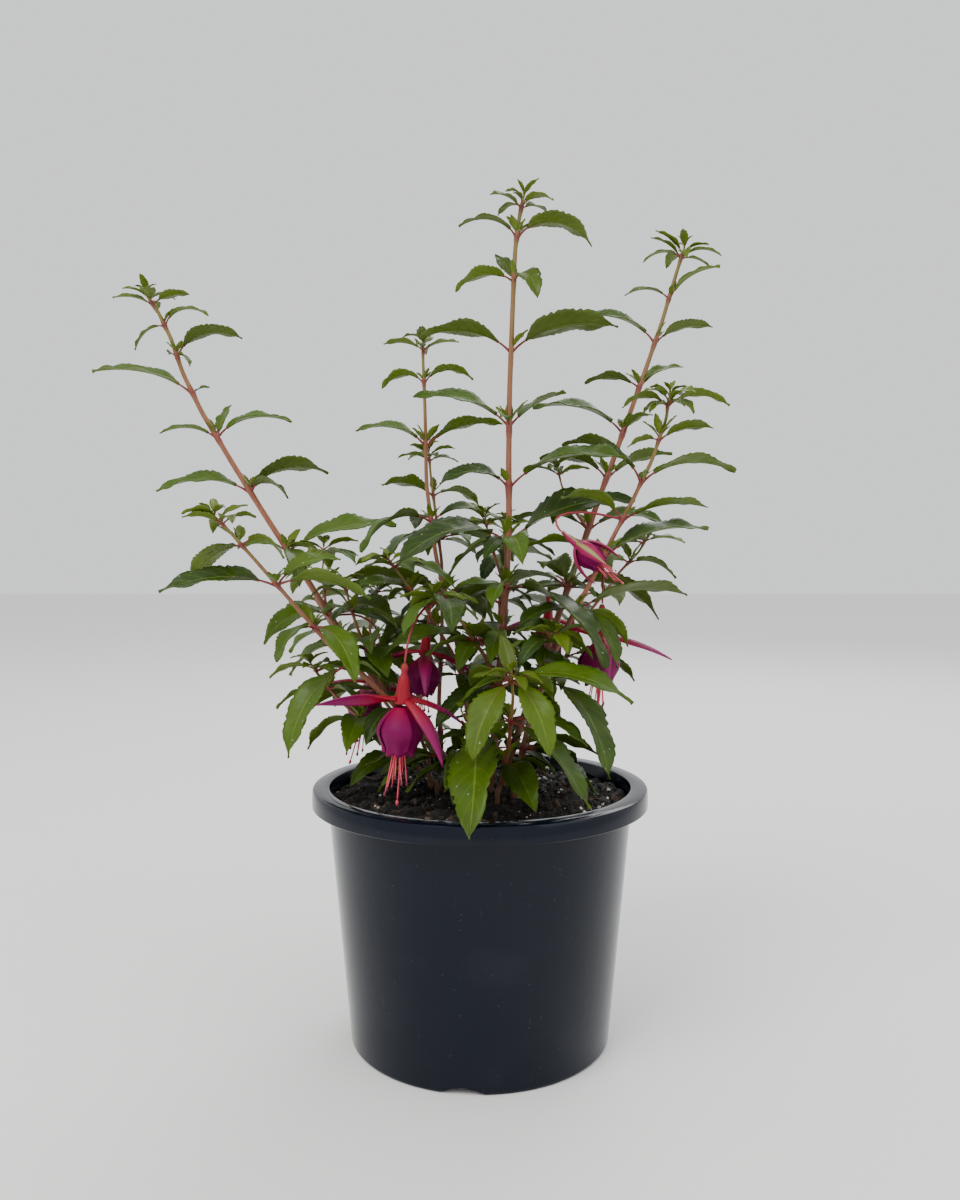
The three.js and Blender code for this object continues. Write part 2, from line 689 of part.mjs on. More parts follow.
// A smooth curve through joints: the point at a place counted in joints.
function curveAt(points, place) {
  const i = Math.min(Math.floor(place), points.length - 2);
  const t = place - i;
  const [b, c] = [points[i], points[i + 1]];
  const a = points[i - 1] ?? b.clone().multiplyScalar(2).sub(c);
  const d = points[i + 2] ?? c.clone().multiplyScalar(2).sub(b);
  return point()
    .addScaledVector(a, ((2 - t) * t - 1) * t * 0.5)
    .addScaledVector(b, ((3 * t - 5) * t * t + 2) * 0.5)
    .addScaledVector(c, ((4 - 3 * t) * t + 1) * t * 0.5)
    .addScaledVector(d, (t - 1) * t * t * 0.5);
}

// The joints of a stem, after the point where it leaves the soil or its parent.
function stemPoints(stem) {
  const joints = stem.joints.map((joint) => point(...joint));
  if (stem.root) return [point(stem.root[0], stem.root[1], COLLAR_HEIGHT), ...joints];
  const parent = STEMS.find((each) => each.name === stem.parent);
  return [jointAt(parent, stem.from).middle, ...joints];
}

// The middle of a stem at a joint, and the way it runs there. The stem is straight across it.
function jointAt(stem, joint) {
  const points = stemPoints(stem);
  const place = joint + 1;
  const reach = Math.min(0.5, points.length - 1 - place);
  const [below, above] = [curveAt(points, place - reach), curveAt(points, place + reach)];
  const along = reach > 0 ? above.clone().sub(below).normalize() : tipDirection(stem);
  return { middle: below.lerp(above, 0.5), along, radius: stemRadius(stem, place) };
}

function stemRadius(stem, place) {
  return stem.girth * (1 - (STEM_TAPER * place) / stem.joints.length);
}

function tipDirection(stem) {
  const [before, last] = stem.joints.slice(-2).map((joint) => point(...joint));
  return last.sub(before).normalize();
}

// The stem bends between its joints, so that leaf roots meet its plain sides.
function stemSolid(stem) {
  const points = stemPoints(stem);
  const places = [0, ...points.slice(1).map((_, i) => i + 0.5), points.length - 1];
  const line = places.map((place) => curveAt(points, place));
  const radii = places.map((place) => stemRadius(stem, place));
  if (stem.root) {
    line.unshift(point(stem.root[0], stem.root[1], SOIL_TOP - ROOTED_DEPTH));
    radii.unshift(stem.girth);
  }
  const top = line.at(-1).clone();
  for (const [height, radius] of TIP_BUD) {
    line.push(top.clone().addScaledVector(tipDirection(stem), height));
    radii.push(radius);
  }
  return rod(line, radii, STEM_SIDES, top.addScaledVector(tipDirection(stem), TIP_LENGTH));
}

// The root of a leaf: sunk in the side of the stem that the leaf grows from.
function leafRoot(stem, joint, azimuth) {
  const { middle, along, radius } = jointAt(stem, joint);
  const outward = point(Math.cos(degrees(azimuth)), Math.sin(degrees(azimuth)), 0);
  outward.addScaledVector(along, -outward.dot(along)).normalize();
  return middle.addScaledVector(outward, radius * ROOT_SHARE);
}

const ownerOf = (stem) => stem.parent ?? stem.name;

// Balls along a line of points, at a steady spacing.
function lineBalls(line, room) {
  const balls = [];
  for (let i = 0; i + 1 < line.length; i++) {
    const count = Math.ceil(line[i].distanceTo(line[i + 1]) / BALL_SPACING);
    for (let k = 0; k < count; k++) {
      balls.push({ at: line[i].clone().lerp(line[i + 1], k / count), share: 0.5, room });
    }
  }
  return balls;
}

// Leaf lengths by rule: short near the tip of the stem, full size lower down.
function ruleLength(stem, joint) {
  const tip = point(...stem.joints.at(-1));
  const away = tip.distanceTo(point(...stem.joints[joint]));
  return Math.min(stem.reach, 26 + 0.75 * away);
}

function growWhorl(stem, joint, leaves) {
  const height = joint / (stem.joints.length - 1);
  const first = stem.turn + (180 / stem.whorl) * joint;
  const droop = USUAL_DROOP + LOW_DROOP * (1 - height);
  for (let i = 0; i < stem.whorl; i++) {
    const azimuth = first + (360 / stem.whorl) * i;
    const leaf = leafAt(stem, joint, azimuth, ruleLength(stem, joint), USUAL_RISE, droop, 1.4);
    growLeaf(leaf, ownerOf(stem), leaves);
  }
}

// The two youngest open leaves of a stem, on both sides of the bud at its tip.
function growTuft(stem, leaves) {
  const last = stem.joints.length - 1;
  for (const azimuth of [0, 180]) {
    const leaf = leafAt(stem, last, stem.turn + azimuth, TUFT_LENGTH, 48, 70, 1);
    growLeaf(leaf, ownerOf(stem), leaves);
  }
}

// Flowers

function bloomPlace(bloom) {
  const [azimuth, tilt] = bloom.lean.map(degrees);
  const level = -Math.sin(tilt);
  const axis = point(level * Math.cos(azimuth), level * Math.sin(azimuth), Math.cos(tilt));
  const turned = new THREE.Quaternion().setFromUnitVectors(UP, axis);
  const mouth = point(...bloom.mouth);
  return (p) => p.clone().multiplyScalar(bloom.size).applyQuaternion(turned).add(mouth);
}

const sepalShape = {
  stations: SEPAL_STATIONS,
  outline: (share) => Math.min(1, 0.5 + 1.4 * share) * (1 - share ** 2.6),
  halfWidth: SEPAL_HALF_WIDTH,
  stalk: 0.3,
  thickness: 1.3,
  fold: 10,
};

function sepalBlades(bloom) {
  return bloom.sepals.map(([azimuth, rise, droop, roll = 8]) => {
    const turn = degrees(azimuth);
    const [out, height] = SEPAL_ROOT;
    const root = point(out * Math.cos(turn), out * Math.sin(turn), height);
    return { root, azimuth, rise, droop, length: SEPAL_LENGTH, sway: 6, roll };
  });
}

function bloomBalls(bloom) {
  const place = bloomPlace(bloom);
  const shares = [[16, 4], [8, 6], [-4, 7], [-11, 11], [-18, 14], [-25, 13], [-34, 8], [-42, 8], [-50, 8]];
  const balls = shares.map(([z, room]) => ({ at: place(point(0, 0, z)), share: 1, room: room * bloom.size }));
  for (const sepal of sepalBlades(bloom)) balls.push(...bladeBalls(sepal, sepalShape, 2.6, place));
  return balls;
}

function sepalsSolid(bloom) {
  const place = bloomPlace(bloom);
  const line = TUBE.map(([z]) => place(point(0, 0, z)));
  const tube = rod(line, TUBE.map(([, radius]) => radius * bloom.size), 6);
  const sepals = sepalBlades(bloom).map((sepal) => bladeSolid(sepal, sepalShape, place));
  return wasm.Manifold.union([tube, ...sepals]);
}

function discSolid(bloom, top, bottom, radius) {
  const place = bloomPlace(bloom);
  const ends = [place(point(0, 0, -top)), place(point(0, 0, -bottom))];
  return rod(ends, [radius * bloom.size, radius * bloom.size], 6);
}

// The skirt of petals. Each petal starts under its neighbour's edge and ends outside the next one,
// so the radius climbs over every petal and steps back where the next one starts.
function petalsSolid(bloom) {
  const place = bloomPlace(bloom);
  const ring = (depth, radius, open = 0, scallop = 0) => {
    const points = [];
    for (let k = 0; k < PETAL_COUNT; k++) {
      for (const [share, climb] of PETAL_EDGES) {
        const turn = degrees(bloom.turn) + (2 * Math.PI * (k + share)) / PETAL_COUNT;
        const r = radius + open * PETAL_STEP * (climb - 0.5);
        const z = scallop * (share - 0.45) ** 2 - depth;
        points.push(place(point(r * Math.cos(turn), r * Math.sin(turn), z)));
      }
    }
    return points;
  };
  const [hemDepth, hemRadius] = SKIRT_HEM;
  return loft([
    ring(COLLAR_DEPTH, COLLAR_RADIUS - 1),
    ...SKIRT.map(([depth, radius]) => ring(depth, radius - PETAL_THICKNESS, 1)),
    ring(hemDepth, hemRadius - PETAL_THICKNESS, 1, PETAL_SCALLOP),
    ring(hemDepth, hemRadius, 1, PETAL_SCALLOP),
    ...SKIRT.toReversed().map(([depth, radius]) => ring(depth, radius, 1)),
    ring(COLLAR_DEPTH, COLLAR_RADIUS),
    ring(PART_GAP / bloom.size, COLLAR_RADIUS),
  ]);
}

function stamensSolid(bloom) {
  const place = bloomPlace(bloom);
  const parts = [discSolid(bloom, COLLAR_DEPTH + PART_GAP / bloom.size, DISC_DEPTH, DISC_RADIUS)];
  for (let k = 0; k < STAMEN_COUNT; k++) {
    const turn = (2 * Math.PI * k) / STAMEN_COUNT + draw(-0.2, 0.2);
    const length = draw(41, 51);
    const spread = draw(4, 7);
    const at = (r, depth) => place(point(r * Math.cos(turn), r * Math.sin(turn), -depth));
    const line = [at(1.2, 3), at(spread, length - 3), at(spread, length - 1.4)];
    parts.push(rod(line, [0.5, 0.4, 1], 3, at(spread, length)));
  }
  const depths = [3, STYLE_LENGTH - 4, STYLE_LENGTH - 2];
  const line = depths.map((depth) => place(point(0, 0, -depth)));
  parts.push(rod(line, [0.6, 0.5, 1.3], 4, place(point(0, 0, -STYLE_LENGTH))));
  return wasm.Manifold.union(parts);
}

// The stalk of a flower or bud: an arch from its joint that comes down onto the top.
function stalkLine(start, end, axis) {
  const lift = start.distanceTo(end) * 0.45;
  const before = end.clone().addScaledVector(axis, lift);
  const after = start.clone().lerp(before, 0.5).addScaledVector(UP, lift * 0.35);
  const arch = new THREE.CubicBezierCurve3(start, after, before, end).getPoints(4);
  return [...arch.slice(0, -1), end.clone().addScaledVector(axis, 1.5), end];
}

function bloomStalk(bloom) {
  const place = bloomPlace(bloom);
  const end = place(point(0, 0, OVARY_TOP + STALK_GAP / bloom.size));
  const axis = place(point(0, 0, 1)).sub(place(point())).normalize();
  const stem = STEMS.find((each) => each.name === bloom.stem);
  return stalkLine(jointAt(stem, bloom.joint).middle, end, axis);
}

const BUD_LENGTH = 20;
const BUD_PROFILE = [[0, 1.1], [2.5, 1.8], [6, 1.5], [11, 3], [16, 3.2]];

function budStalk([stemName, joint, azimuth, length]) {
  const stem = STEMS.find((each) => each.name === stemName);
  const start = jointAt(stem, joint).middle;
  const turn = degrees(azimuth);
  const end = start.clone().add(point(length * Math.cos(turn), length * Math.sin(turn), -length * 0.5));
  return stalkLine(start, end, UP);
}

function budLine(bud) {
  const top = budStalk(bud).at(-1);
  return [...BUD_PROFILE.map(([depth]) => depth), BUD_LENGTH].map((depth) =>
    top.clone().addScaledVector(UP, -depth - STALK_GAP),
  );
}

// Growing the plant: stems and flowers take their room first, then the listed leaves, then the
// tufts at the tips, and then the leaves that follow the rule.

function growPlant() {
  const owners = new Map();
  const partsOf = (owner) => {
    if (!owners.has(owner)) owners.set(owner, []);
    return owners.get(owner);
  };
  for (const stem of STEMS) {
    partsOf(ownerOf(stem)).push(stemSolid(stem));
    taken.push(gather(lineBalls(stemPoints(stem), stem.girth + STEM_ROOM), ownerOf(stem)));
  }
  const stalks = [
    ...BLOOMS.map((bloom) => [bloom.stem, bloomStalk(bloom)]),
    ...BUDS.map((bud) => [bud[0], budStalk(bud)]),
  ];
  for (const [stemName, line] of stalks) {
    const owner = ownerOf(STEMS.find((each) => each.name === stemName));
    partsOf(owner).push(rod(line, line.map(() => STALK_RADIUS), 4));
    taken.push(gather(lineBalls(line, 2.2), owner));
  }
  for (const bloom of BLOOMS) taken.push(gather(bloomBalls(bloom), bloom.name));
  for (const bud of BUDS) taken.push(gather(lineBalls(budLine(bud), 4.5), 'bud'));

  const leavesOf = new Map(STEMS.map((stem) => [stem, []]));
  for (const stem of STEMS) {
    for (const [joint, azimuth, length, rise, droop] of stem.leaves) {
      const leaf = leafAt(stem, joint, azimuth, length, rise, droop, 0.3);
      growLeaf(leaf, ownerOf(stem), leavesOf.get(stem));
    }
  }
  for (const stem of STEMS) growTuft(stem, leavesOf.get(stem));
  for (const stem of STEMS) {
    const listed = new Set(stem.leaves.map(([joint]) => joint));
    const lowest = stem.root ? 1 : 0;
    for (let joint = lowest; joint + 1 < stem.joints.length; joint++) {
      if (!listed.has(joint)) growWhorl(stem, joint, leavesOf.get(stem));
    }
  }
  for (const stem of STEMS) {
    const solids = leavesOf.get(stem).map((leaf) => bladeSolid(leaf, leafShape(leaf)));
    partsOf(ownerOf(stem)).push(...solids);
  }
  return owners;
}

addMesh('pot', makePot(), LOOKS.pot);
addMesh('soil', makeSoil(), LOOKS.soil);

for (const [owner, parts] of growPlant()) {
  const plant = wasm.Manifold.union(parts);
  addMesh(owner, plant.simplify(0.02), LOOKS.foliage);
}

for (const bloom of BLOOMS) {
  addMesh(`${bloom.name}_sepals`, sepalsSolid(bloom).simplify(0.02), LOOKS.sepals);
  addMesh(`${bloom.name}_petals`, petalsSolid(bloom).simplify(0.02), LOOKS.petals);
  addMesh(`${bloom.name}_stamens`, stamensSolid(bloom).simplify(0.02), LOOKS.stamens);
}

BUDS.forEach((bud, i) => {
  const line = budLine(bud);
  const radii = BUD_PROFILE.map(([, radius]) => radius);
  addMesh(`bud_${i + 1}`, rod(line.slice(0, -1), radii, 6, line.at(-1)), LOOKS.bud);
});

export default group;
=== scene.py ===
# %% [markdown]
# # A potted fuchsia
# The real thing is a young fuchsia in a round plastic nursery pot. A dozen leafy stems rise from a dark
# potting mix, and red and purple flowers hang from thin stalks. The frame that is loaded first holds the
# plain solids of the same plant. This lesson replaces each of them with a finer piece in the same place:
# a smooth pot, a crumbly mix, stems with swollen joints, toothed leaves with veins, and layered flowers.
# Everything is worked out in millimetres and turned into metres when a mesh is made.

import json
import math

import bpy
import numpy as np
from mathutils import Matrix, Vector, noise
from mathutils.bvhtree import BVHTree

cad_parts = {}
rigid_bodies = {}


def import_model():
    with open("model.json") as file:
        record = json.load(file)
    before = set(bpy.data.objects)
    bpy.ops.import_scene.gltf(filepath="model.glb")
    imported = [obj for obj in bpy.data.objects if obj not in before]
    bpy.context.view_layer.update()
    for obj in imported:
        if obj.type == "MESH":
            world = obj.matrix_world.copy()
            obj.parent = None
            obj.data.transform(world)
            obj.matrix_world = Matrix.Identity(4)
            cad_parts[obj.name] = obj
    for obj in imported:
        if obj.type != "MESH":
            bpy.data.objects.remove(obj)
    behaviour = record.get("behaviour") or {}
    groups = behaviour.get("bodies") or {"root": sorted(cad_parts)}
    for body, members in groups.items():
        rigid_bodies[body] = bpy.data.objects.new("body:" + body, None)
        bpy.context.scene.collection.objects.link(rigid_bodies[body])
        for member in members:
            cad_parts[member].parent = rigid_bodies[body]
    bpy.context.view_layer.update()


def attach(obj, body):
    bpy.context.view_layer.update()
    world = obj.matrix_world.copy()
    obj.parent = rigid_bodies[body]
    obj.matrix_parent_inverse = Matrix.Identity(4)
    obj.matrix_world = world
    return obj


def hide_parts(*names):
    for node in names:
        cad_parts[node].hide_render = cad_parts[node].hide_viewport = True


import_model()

# %% [markdown]
# ## The plant's plan
# A plant repeats one habit: a stem, joints along it, and two or three leaves at each joint. So the plan is
# a table of stems with the places of their joints. The large leaves that give this plant its look are
# listed one by one, as joint, azimuth, length, rise and droop. The solids of the frame were grown from
# the same plan by the same rule, so every piece made here falls in the place of its solid.

# %% Sizes that the solids share, in millimetres and degrees
RIM_RADIUS = 100
POT_HEIGHT = 152
BASE_RADIUS = 77.6
NECK_RADIUS = 90.4
WALL = 1.6
RIM_BAND = 10.4
RIM_WIDTH = 10.3
RIM_ROUND = 1.6
BASE_ROUND = 2.2
FLOOR = 2

NOTCH_COUNT = 4
NOTCH_WIDTH = 26
NOTCH_HEIGHT = 4
NOTCH_DEPTH = 13
FIRST_NOTCH = -97

SOIL_TOP = 144
SOIL_LUMP = 1.6
ROOTED_DEPTH = 16
COLLAR_HEIGHT = 150

STEM_TAPER = 0.55
TIP_LENGTH = 14

LEAF_WIDTH_SHARE = 0.33
PETIOLE_SHARE = 0.15
PETIOLE_RADIUS = 0.8
LEAF_FOLD = 14
ROOT_SHARE = 0.45
TUFT_LENGTH = 23
USUAL_RISE = 38
USUAL_DROOP = 72
LOW_DROOP = 24

LEAF_ROOM = 2.5
STEM_ROOM = 1.6
BALL_SPACING = 4.5
RIM_CLEARANCE = 2.5
SOIL_CLEARANCE = 5
LINE_STEPS = 20

OVARY_TOP = 22
STALK_GAP = 0.4
STALK_RADIUS = 0.8
SEPAL_LENGTH = 44
SEPAL_HALF_WIDTH = 5.2
SEPAL_ROOT = [2.4, 2.4]
BUD_LENGTH = 20

# %% The stems: where they leave the mix or their parent, their joints and their large leaves
STEMS = [
    dict(
      name="stem_low_front", root=[10, -22], girth=1.8, whorl=3, turn=0, reach=60,
      joints=[[14, -24, 165], [18, -50, 200], [17, -68, 222]],
      leaves=[
        [0, -75, 58, 22, 64],
        [1, -55, 74, 2, 62], [1, 170, 30, 30, 60],
        [2, -126, 55, -2, 80], [2, -58, 52, 2, 84], [2, -10, 68, 34, 74], [2, 108, 28, 75, 20],
      ],
    ),
    dict(
      name="stem_low_centre", root=[-4, -18], girth=1.7, whorl=3, turn=150, reach=46,
      joints=[[-4, -22, 172], [-3, -34, 187], [-8, -40, 197]],
      leaves=[[0, 205, 46, 20, 66], [0, -104, 52, 14, 50], [1, -87, 92, 8, 52]],
    ),
    dict(
      name="stem_centre", root=[6, 5], girth=2.9, whorl=3, turn=40, reach=66,
      joints=[
        [8, 4, 165], [11, 2, 214], [14, 0, 245], [15, -1, 268], [17, -2, 295], [17, -4, 330],
        [17, -4, 363], [18, -5, 407], [20, -6, 453], [21, -6, 473], [24, -6, 490],
      ],
      leaves=[
        [1, -105, 62, 8, 72], [1, 30, 50, 10, 70],
        [2, -20, 50, 20, 70], [2, 100, 56, 30, 70], [2, 220, 54, 20, 70],
        [3, -48, 98, 16, 70], [3, -105, 42, 40, 95],
        [4, 215, 82, 43, 86], [4, 8, 84, 51, 56],
        [5, -25, 80, 49, 70], [5, 200, 46, 61, 98],
        [6, 180, 60, 53, 68], [6, 35, 54, 49, 42], [6, -100, 22, 50, 80],
        [7, 180, 58, 53, 74], [7, 0, 65, 53, 70],
        [8, 188, 38, 46, 98], [8, -65, 36, 46, 128], [8, 110, 30, 71, 28],
        [9, 185, 39, 73, 113], [9, 0, 52, 67, 128],
      ],
    ),
    dict(
      name="shoot_inner", parent="stem_centre", fork=3, girth=1.2, whorl=2, turn=60, reach=24,
      joints=[[7, 6, 293], [4, 8, 306]],
      leaves=[],
    ),
    dict(
      name="branch_front_left", parent="stem_centre", fork=1, girth=1.8, whorl=2, turn=20, reach=56,
      joints=[[-2, -14, 240], [-22, -30, 262]],
      leaves=[[0, 200, 58, 40, 80], [0, -60, 40, 20, 60]],
    ),
    dict(
      name="branch_front_right", parent="stem_centre", fork=1, girth=1.6, whorl=3, turn=0, reach=54,
      joints=[[22, -16, 229], [34, -34, 238], [40, -42, 243]],
      leaves=[],
    ),
    dict(
      name="stem_mid_left", root=[-2, 20], girth=2.2, whorl=3, turn=80, reach=62,
      joints=[
        [-4, 22, 161], [-11, 24, 216], [-21, 26, 266], [-32, 28, 307], [-33, 28, 357],
        [-35, 28, 400], [-35, 28, 414],
      ],
      leaves=[
        [2, 188, 70, 38, 52], [2, 20, 44, 40, 60],
        [3, 215, 60, 39, 100], [3, 10, 42, 56, 83], [3, 110, 44, 41, 78],
        [4, 180, 47, 61, 83], [4, 0, 50, 51, 63], [4, 100, 26, 50, 60],
        [5, 175, 31, 66, 128], [5, 5, 35, 73, 113],
      ],
    ),
    dict(
      name="branch_mid_left", parent="stem_mid_left", fork=1, girth=1.5, whorl=3, turn=30, reach=54,
      joints=[[-24, 8, 244], [-42, -8, 270], [-50, -12, 282]],
      leaves=[],
    ),
    dict(
      name="stem_far_left", root=[-13, 9], girth=2.7, whorl=3, turn=10, reach=64,
      joints=[
        [-15, 10, 160], [-61, 12, 206], [-92, 14, 253], [-117, 16, 291], [-141, 18, 328],
        [-161, 20, 361], [-177, 20, 389], [-184, 20, 409], [-192, 20, 430], [-199, 20, 441],
      ],
      leaves=[
        [3, 5, 70, 41, 50], [3, -70, 46, 21, 88], [3, 200, 32, 51, 78],
        [4, 180, 58, 43, 70], [4, 10, 52, 71, 98], [4, -35, 36, 61, 118], [4, 95, 22, 60, 60],
        [5, 195, 35, 49, 78], [5, 22, 50, 63, 80], [5, 80, 32, 71, 38],
        [6, 180, 62, 46, 58], [6, 60, 14, 50, 50],
        [7, 0, 46, 77, 106], [7, -50, 20, 20, 80], [7, 150, 20, 40, 30],
        [8, 172, 26, 20, 90], [8, 0, 32, 73, 128],
      ],
    ),
    dict(
      name="shoot_left", parent="stem_far_left", fork=2, girth=1.2, whorl=2, turn=0, reach=22,
      joints=[[-96, 14, 267], [-95, 12, 288]],
      leaves=[],
    ),
    dict(
      name="branch_left", parent="stem_far_left", fork=1, girth=1.5, whorl=3, turn=60, reach=52,
      joints=[[-68, -2, 232], [-76, -10, 258], [-78, -12, 268]],
      leaves=[],
    ),
    dict(
      name="stem_low_left", root=[-26, 2], girth=1.6, whorl=3, turn=80, reach=50,
      joints=[[-42, -2, 166], [-72, -8, 192], [-90, -12, 212], [-96, -14, 221]],
      leaves=[],
    ),
    dict(
      name="stem_front_left", root=[-15, -13], girth=2.1, whorl=3, turn=30, reach=60,
      joints=[
        [-18, -14, 168], [-48, -28, 203], [-76, -38, 230], [-90, -42, 246], [-112, -48, 273],
        [-132, -52, 297], [-140, -54, 306],
      ],
      leaves=[
        [0, -120, 50, 10, 70], [0, -158, 50, 10, 60],
        [1, -95, 42, 10, 80], [1, 100, 50, 20, 70],
        [2, 215, 66, -8, 78], [2, 186, 48, -14, 72],
        [3, -50, 50, 22, 100], [3, 240, 42, 30, 92], [3, 95, 40, 30, 60],
        [4, 180, 66, 27, 50], [4, 35, 42, 60, 70], [4, -90, 20, 50, 60],
        [5, 143, 50, 1, 68], [5, -25, 32, 41, 118], [5, 170, 20, 30, 50],
      ],
    ),
    dict(
      name="stem_front_right", root=[20, -8], girth=2.2, whorl=3, turn=50, reach=62,
      joints=[
        [24, -10, 168], [37, -14, 219], [56, -16, 256], [72, -18, 290], [82, -19, 309],
        [92, -20, 329], [104, -22, 357], [107, -22, 374],
      ],
      leaves=[
        [0, -42, 58, 16, 62], [1, -48, 76, -5, 84], [1, 60, 46, 20, 60],
        [2, 10, 72, 40, 60], [2, -42, 46, 10, 100], [2, 20, 46, -5, 85],
        [3, 0, 68, 51, 60], [3, 170, 50, 51, 78],
        [4, 4, 54, 39, 56], [4, 190, 42, 56, 88],
        [5, 180, 60, 69, 88], [5, 0, 58, 53, 78], [5, -95, 20, 50, 60],
        [6, 0, 34, 51, 64], [6, 205, 20, 20, 60],
        [7, 180, 29, 63, 113], [7, 0, 37, 56, 92], [7, -70, 30, 56, 88],
      ],
    ),
    dict(
      name="stem_far_right", root=[15, 21], girth=2.8, whorl=3, turn=0, reach=60,
      joints=[
        [17, 24, 159], [41, 28, 226], [55, 32, 269], [68, 34, 304], [80, 35, 340], [89, 36, 362],
        [100, 36, 396], [109, 36, 419], [118, 36, 450], [125, 36, 473],
      ],
      leaves=[
        [3, 190, 54, 51, 78], [3, 0, 50, 51, 78],
        [4, 180, 46, 61, 82], [4, 8, 44, 53, 56],
        [5, 180, 60, 59, 72], [5, -60, 28, 61, 74], [5, 90, 22, 60, 50],
        [6, 180, 35, 45, 68], [6, 20, 37, 63, 64],
        [7, 180, 53, 61, 78], [7, 0, 40, 59, 68],
        [8, 185, 30, 55, 88], [8, -30, 37, 73, 80],
        [9, 180, 26, 55, 100], [9, 0, 27, 62, 100],
      ],
    ),
    dict(
      name="shoot_right", parent="stem_far_right", fork=3, girth=1.3, whorl=2, turn=80, reach=26,
      joints=[[54, 26, 323], [49, 24, 337]],
      leaves=[],
    ),
    dict(
      name="stem_back_left", root=[-22, 36], girth=1.9, whorl=2, turn=30, reach=52,
      joints=[
        [-26, 40, 170], [-26, 52, 218], [-24, 60, 262], [-27, 64, 300], [-31, 64, 328], [-33, 64, 350],
      ],
      leaves=[],
    ),
    dict(
      name="stem_thin_left", root=[-32, 27], girth=1.6, whorl=2, turn=20, reach=46,
      joints=[[-36, 40, 172], [-56, 58, 204], [-73, 62, 229], [-70, 64, 250], [-68, 64, 264]],
      leaves=[],
    ),
    dict(
      name="stem_back_right", root=[26, 32], girth=1.7, whorl=2, turn=70, reach=54,
      joints=[[30, 36, 172], [56, 46, 226], [80, 52, 266], [98, 54, 284], [106, 54, 296]],
      leaves=[],
    ),
    dict(
      name="stem_rear", root=[2, 42], girth=1.9, whorl=2, turn=0, reach=56,
      joints=[[4, 52, 176], [10, 74, 218], [14, 92, 256], [16, 102, 288], [17, 106, 306]],
      leaves=[],
    ),
    dict(
      name="stem_rear_left", root=[-30, 12], girth=1.8, whorl=2, turn=45, reach=54,
      joints=[[-40, 26, 170], [-74, 84, 200], [-100, 104, 232], [-116, 112, 258], [-122, 114, 270]],
      leaves=[],
    ),
]
print("stems", len(STEMS), "with listed leaves", sum(len(stem["leaves"]) for stem in STEMS))

# %% The flowers and buds: stem, joint, mouth, lean, size, turn and the sepals of each
BLOOMS = [
    dict(
      name="bloom_front", stem="branch_front_left", joint=1, mouth=[-42, -62, 209],
      lean=[190, 4], size=1, turn=20,
      sepals=[[186, 6, 22, 48], [-38, -12, 62], [34, 2, 40], [84, 10, 30]],
    ),
    dict(
      name="bloom_left", stem="stem_far_left", joint=2, mouth=[-70, 40, 205],
      lean=[200, 16], size=0.92, turn=50,
      sepals=[[0, 10, 30], [95, 6, 36], [170, 0, 40], [-90, 0, 60]],
    ),
    dict(
      name="bloom_right", stem="stem_front_right", joint=3, mouth=[73, 10, 237],
      lean=[180, 3], size=1, turn=0,
      sepals=[[-4, 4, 34], [85, 6, 36], [166, 24, 30], [-90, -6, 62]],
    ),
    dict(
      name="bloom_inner_left", stem="stem_mid_left", joint=2, mouth=[-33, -3, 229],
      lean=[200, 6], size=0.85, turn=70,
      sepals=[[5, 4, 46], [160, 4, 46], [85, 0, 50], [-85, -4, 60]],
    ),
    dict(
      name="bloom_inner_right", stem="stem_far_right", joint=2, mouth=[45, 66, 244],
      lean=[90, 8], size=0.85, turn=30,
      sepals=[[0, 0, 40], [95, 0, 44], [180, 8, 44], [-80, -4, 64]],
    ),
    dict(
      name="bloom_opening", stem="stem_front_right", joint=4, mouth=[56, -30, 294],
      lean=[-20, 50], size=0.6, turn=10,
      sepals=[[0, -20, 84], [90, -20, 84], [176, -20, 84], [-90, -20, 84]],
    ),
]
BUDS = [
    ["stem_back_right", 2, -150, 24],
    ["stem_rear", 2, 120, 24],
]
print("flowers", len(BLOOMS), "buds", len(BUDS))


# %% [markdown]
# ## The rule of growth
# A leaf is a line that starts at its stem, rises and then droops, and carries a blade that is widest
# before its middle. What stands already is remembered as groups of small balls. A new leaf that would
# touch one is swung, lifted or shortened, and left out if it finds no room. The draws come from one
# fixed sequence, so the plant grows the same way each time.

# %% Draws and smooth curves
seed = 7301


def draw(low, high):
    global seed
    seed = (seed * 16807) % 2147483647
    return low + ((high - low) * seed) / 2147483647


def level_direction(azimuth):
    return np.array([math.cos(math.radians(azimuth)), math.sin(math.radians(azimuth)), 0])


def unit(vector):
    return vector / np.linalg.norm(vector)


def curve_at(points, place):
    i = min(int(math.floor(place)), len(points) - 2)
    t = place - i
    b, c = points[i], points[i + 1]
    a = points[i - 1] if i > 0 else 2 * b - c
    d = points[i + 2] if i + 2 < len(points) else 2 * c - b
    lean = a * (((2 - t) * t - 1) * t * 0.5) + b * (((3 * t - 5) * t * t + 2) * 0.5)
    return lean + c * (((4 - 3 * t) * t + 1) * t * 0.5) + d * ((t - 1) * t * t * 0.5)


# %% Stems: their points, thickness and joints
def stem_named(name):
    return next(stem for stem in STEMS if stem["name"] == name)


def owner_of(stem):
    return stem.get("parent", stem["name"])


def stem_points(stem):
    joints = [np.array(joint, float) for joint in stem["joints"]]
    if "root" in stem:
        x, y = stem["root"]
        return [np.array([x, y, COLLAR_HEIGHT], float), *joints]
    parent = stem_named(stem["parent"])
    return [joint_at(parent, stem["fork"])[0], *joints]


def stem_radius(stem, place):
    return stem["girth"] * (1 - (STEM_TAPER * place) / len(stem["joints"]))


def tip_direction(stem):
    before, last = (np.array(joint, float) for joint in stem["joints"][-2:])
    return unit(last - before)


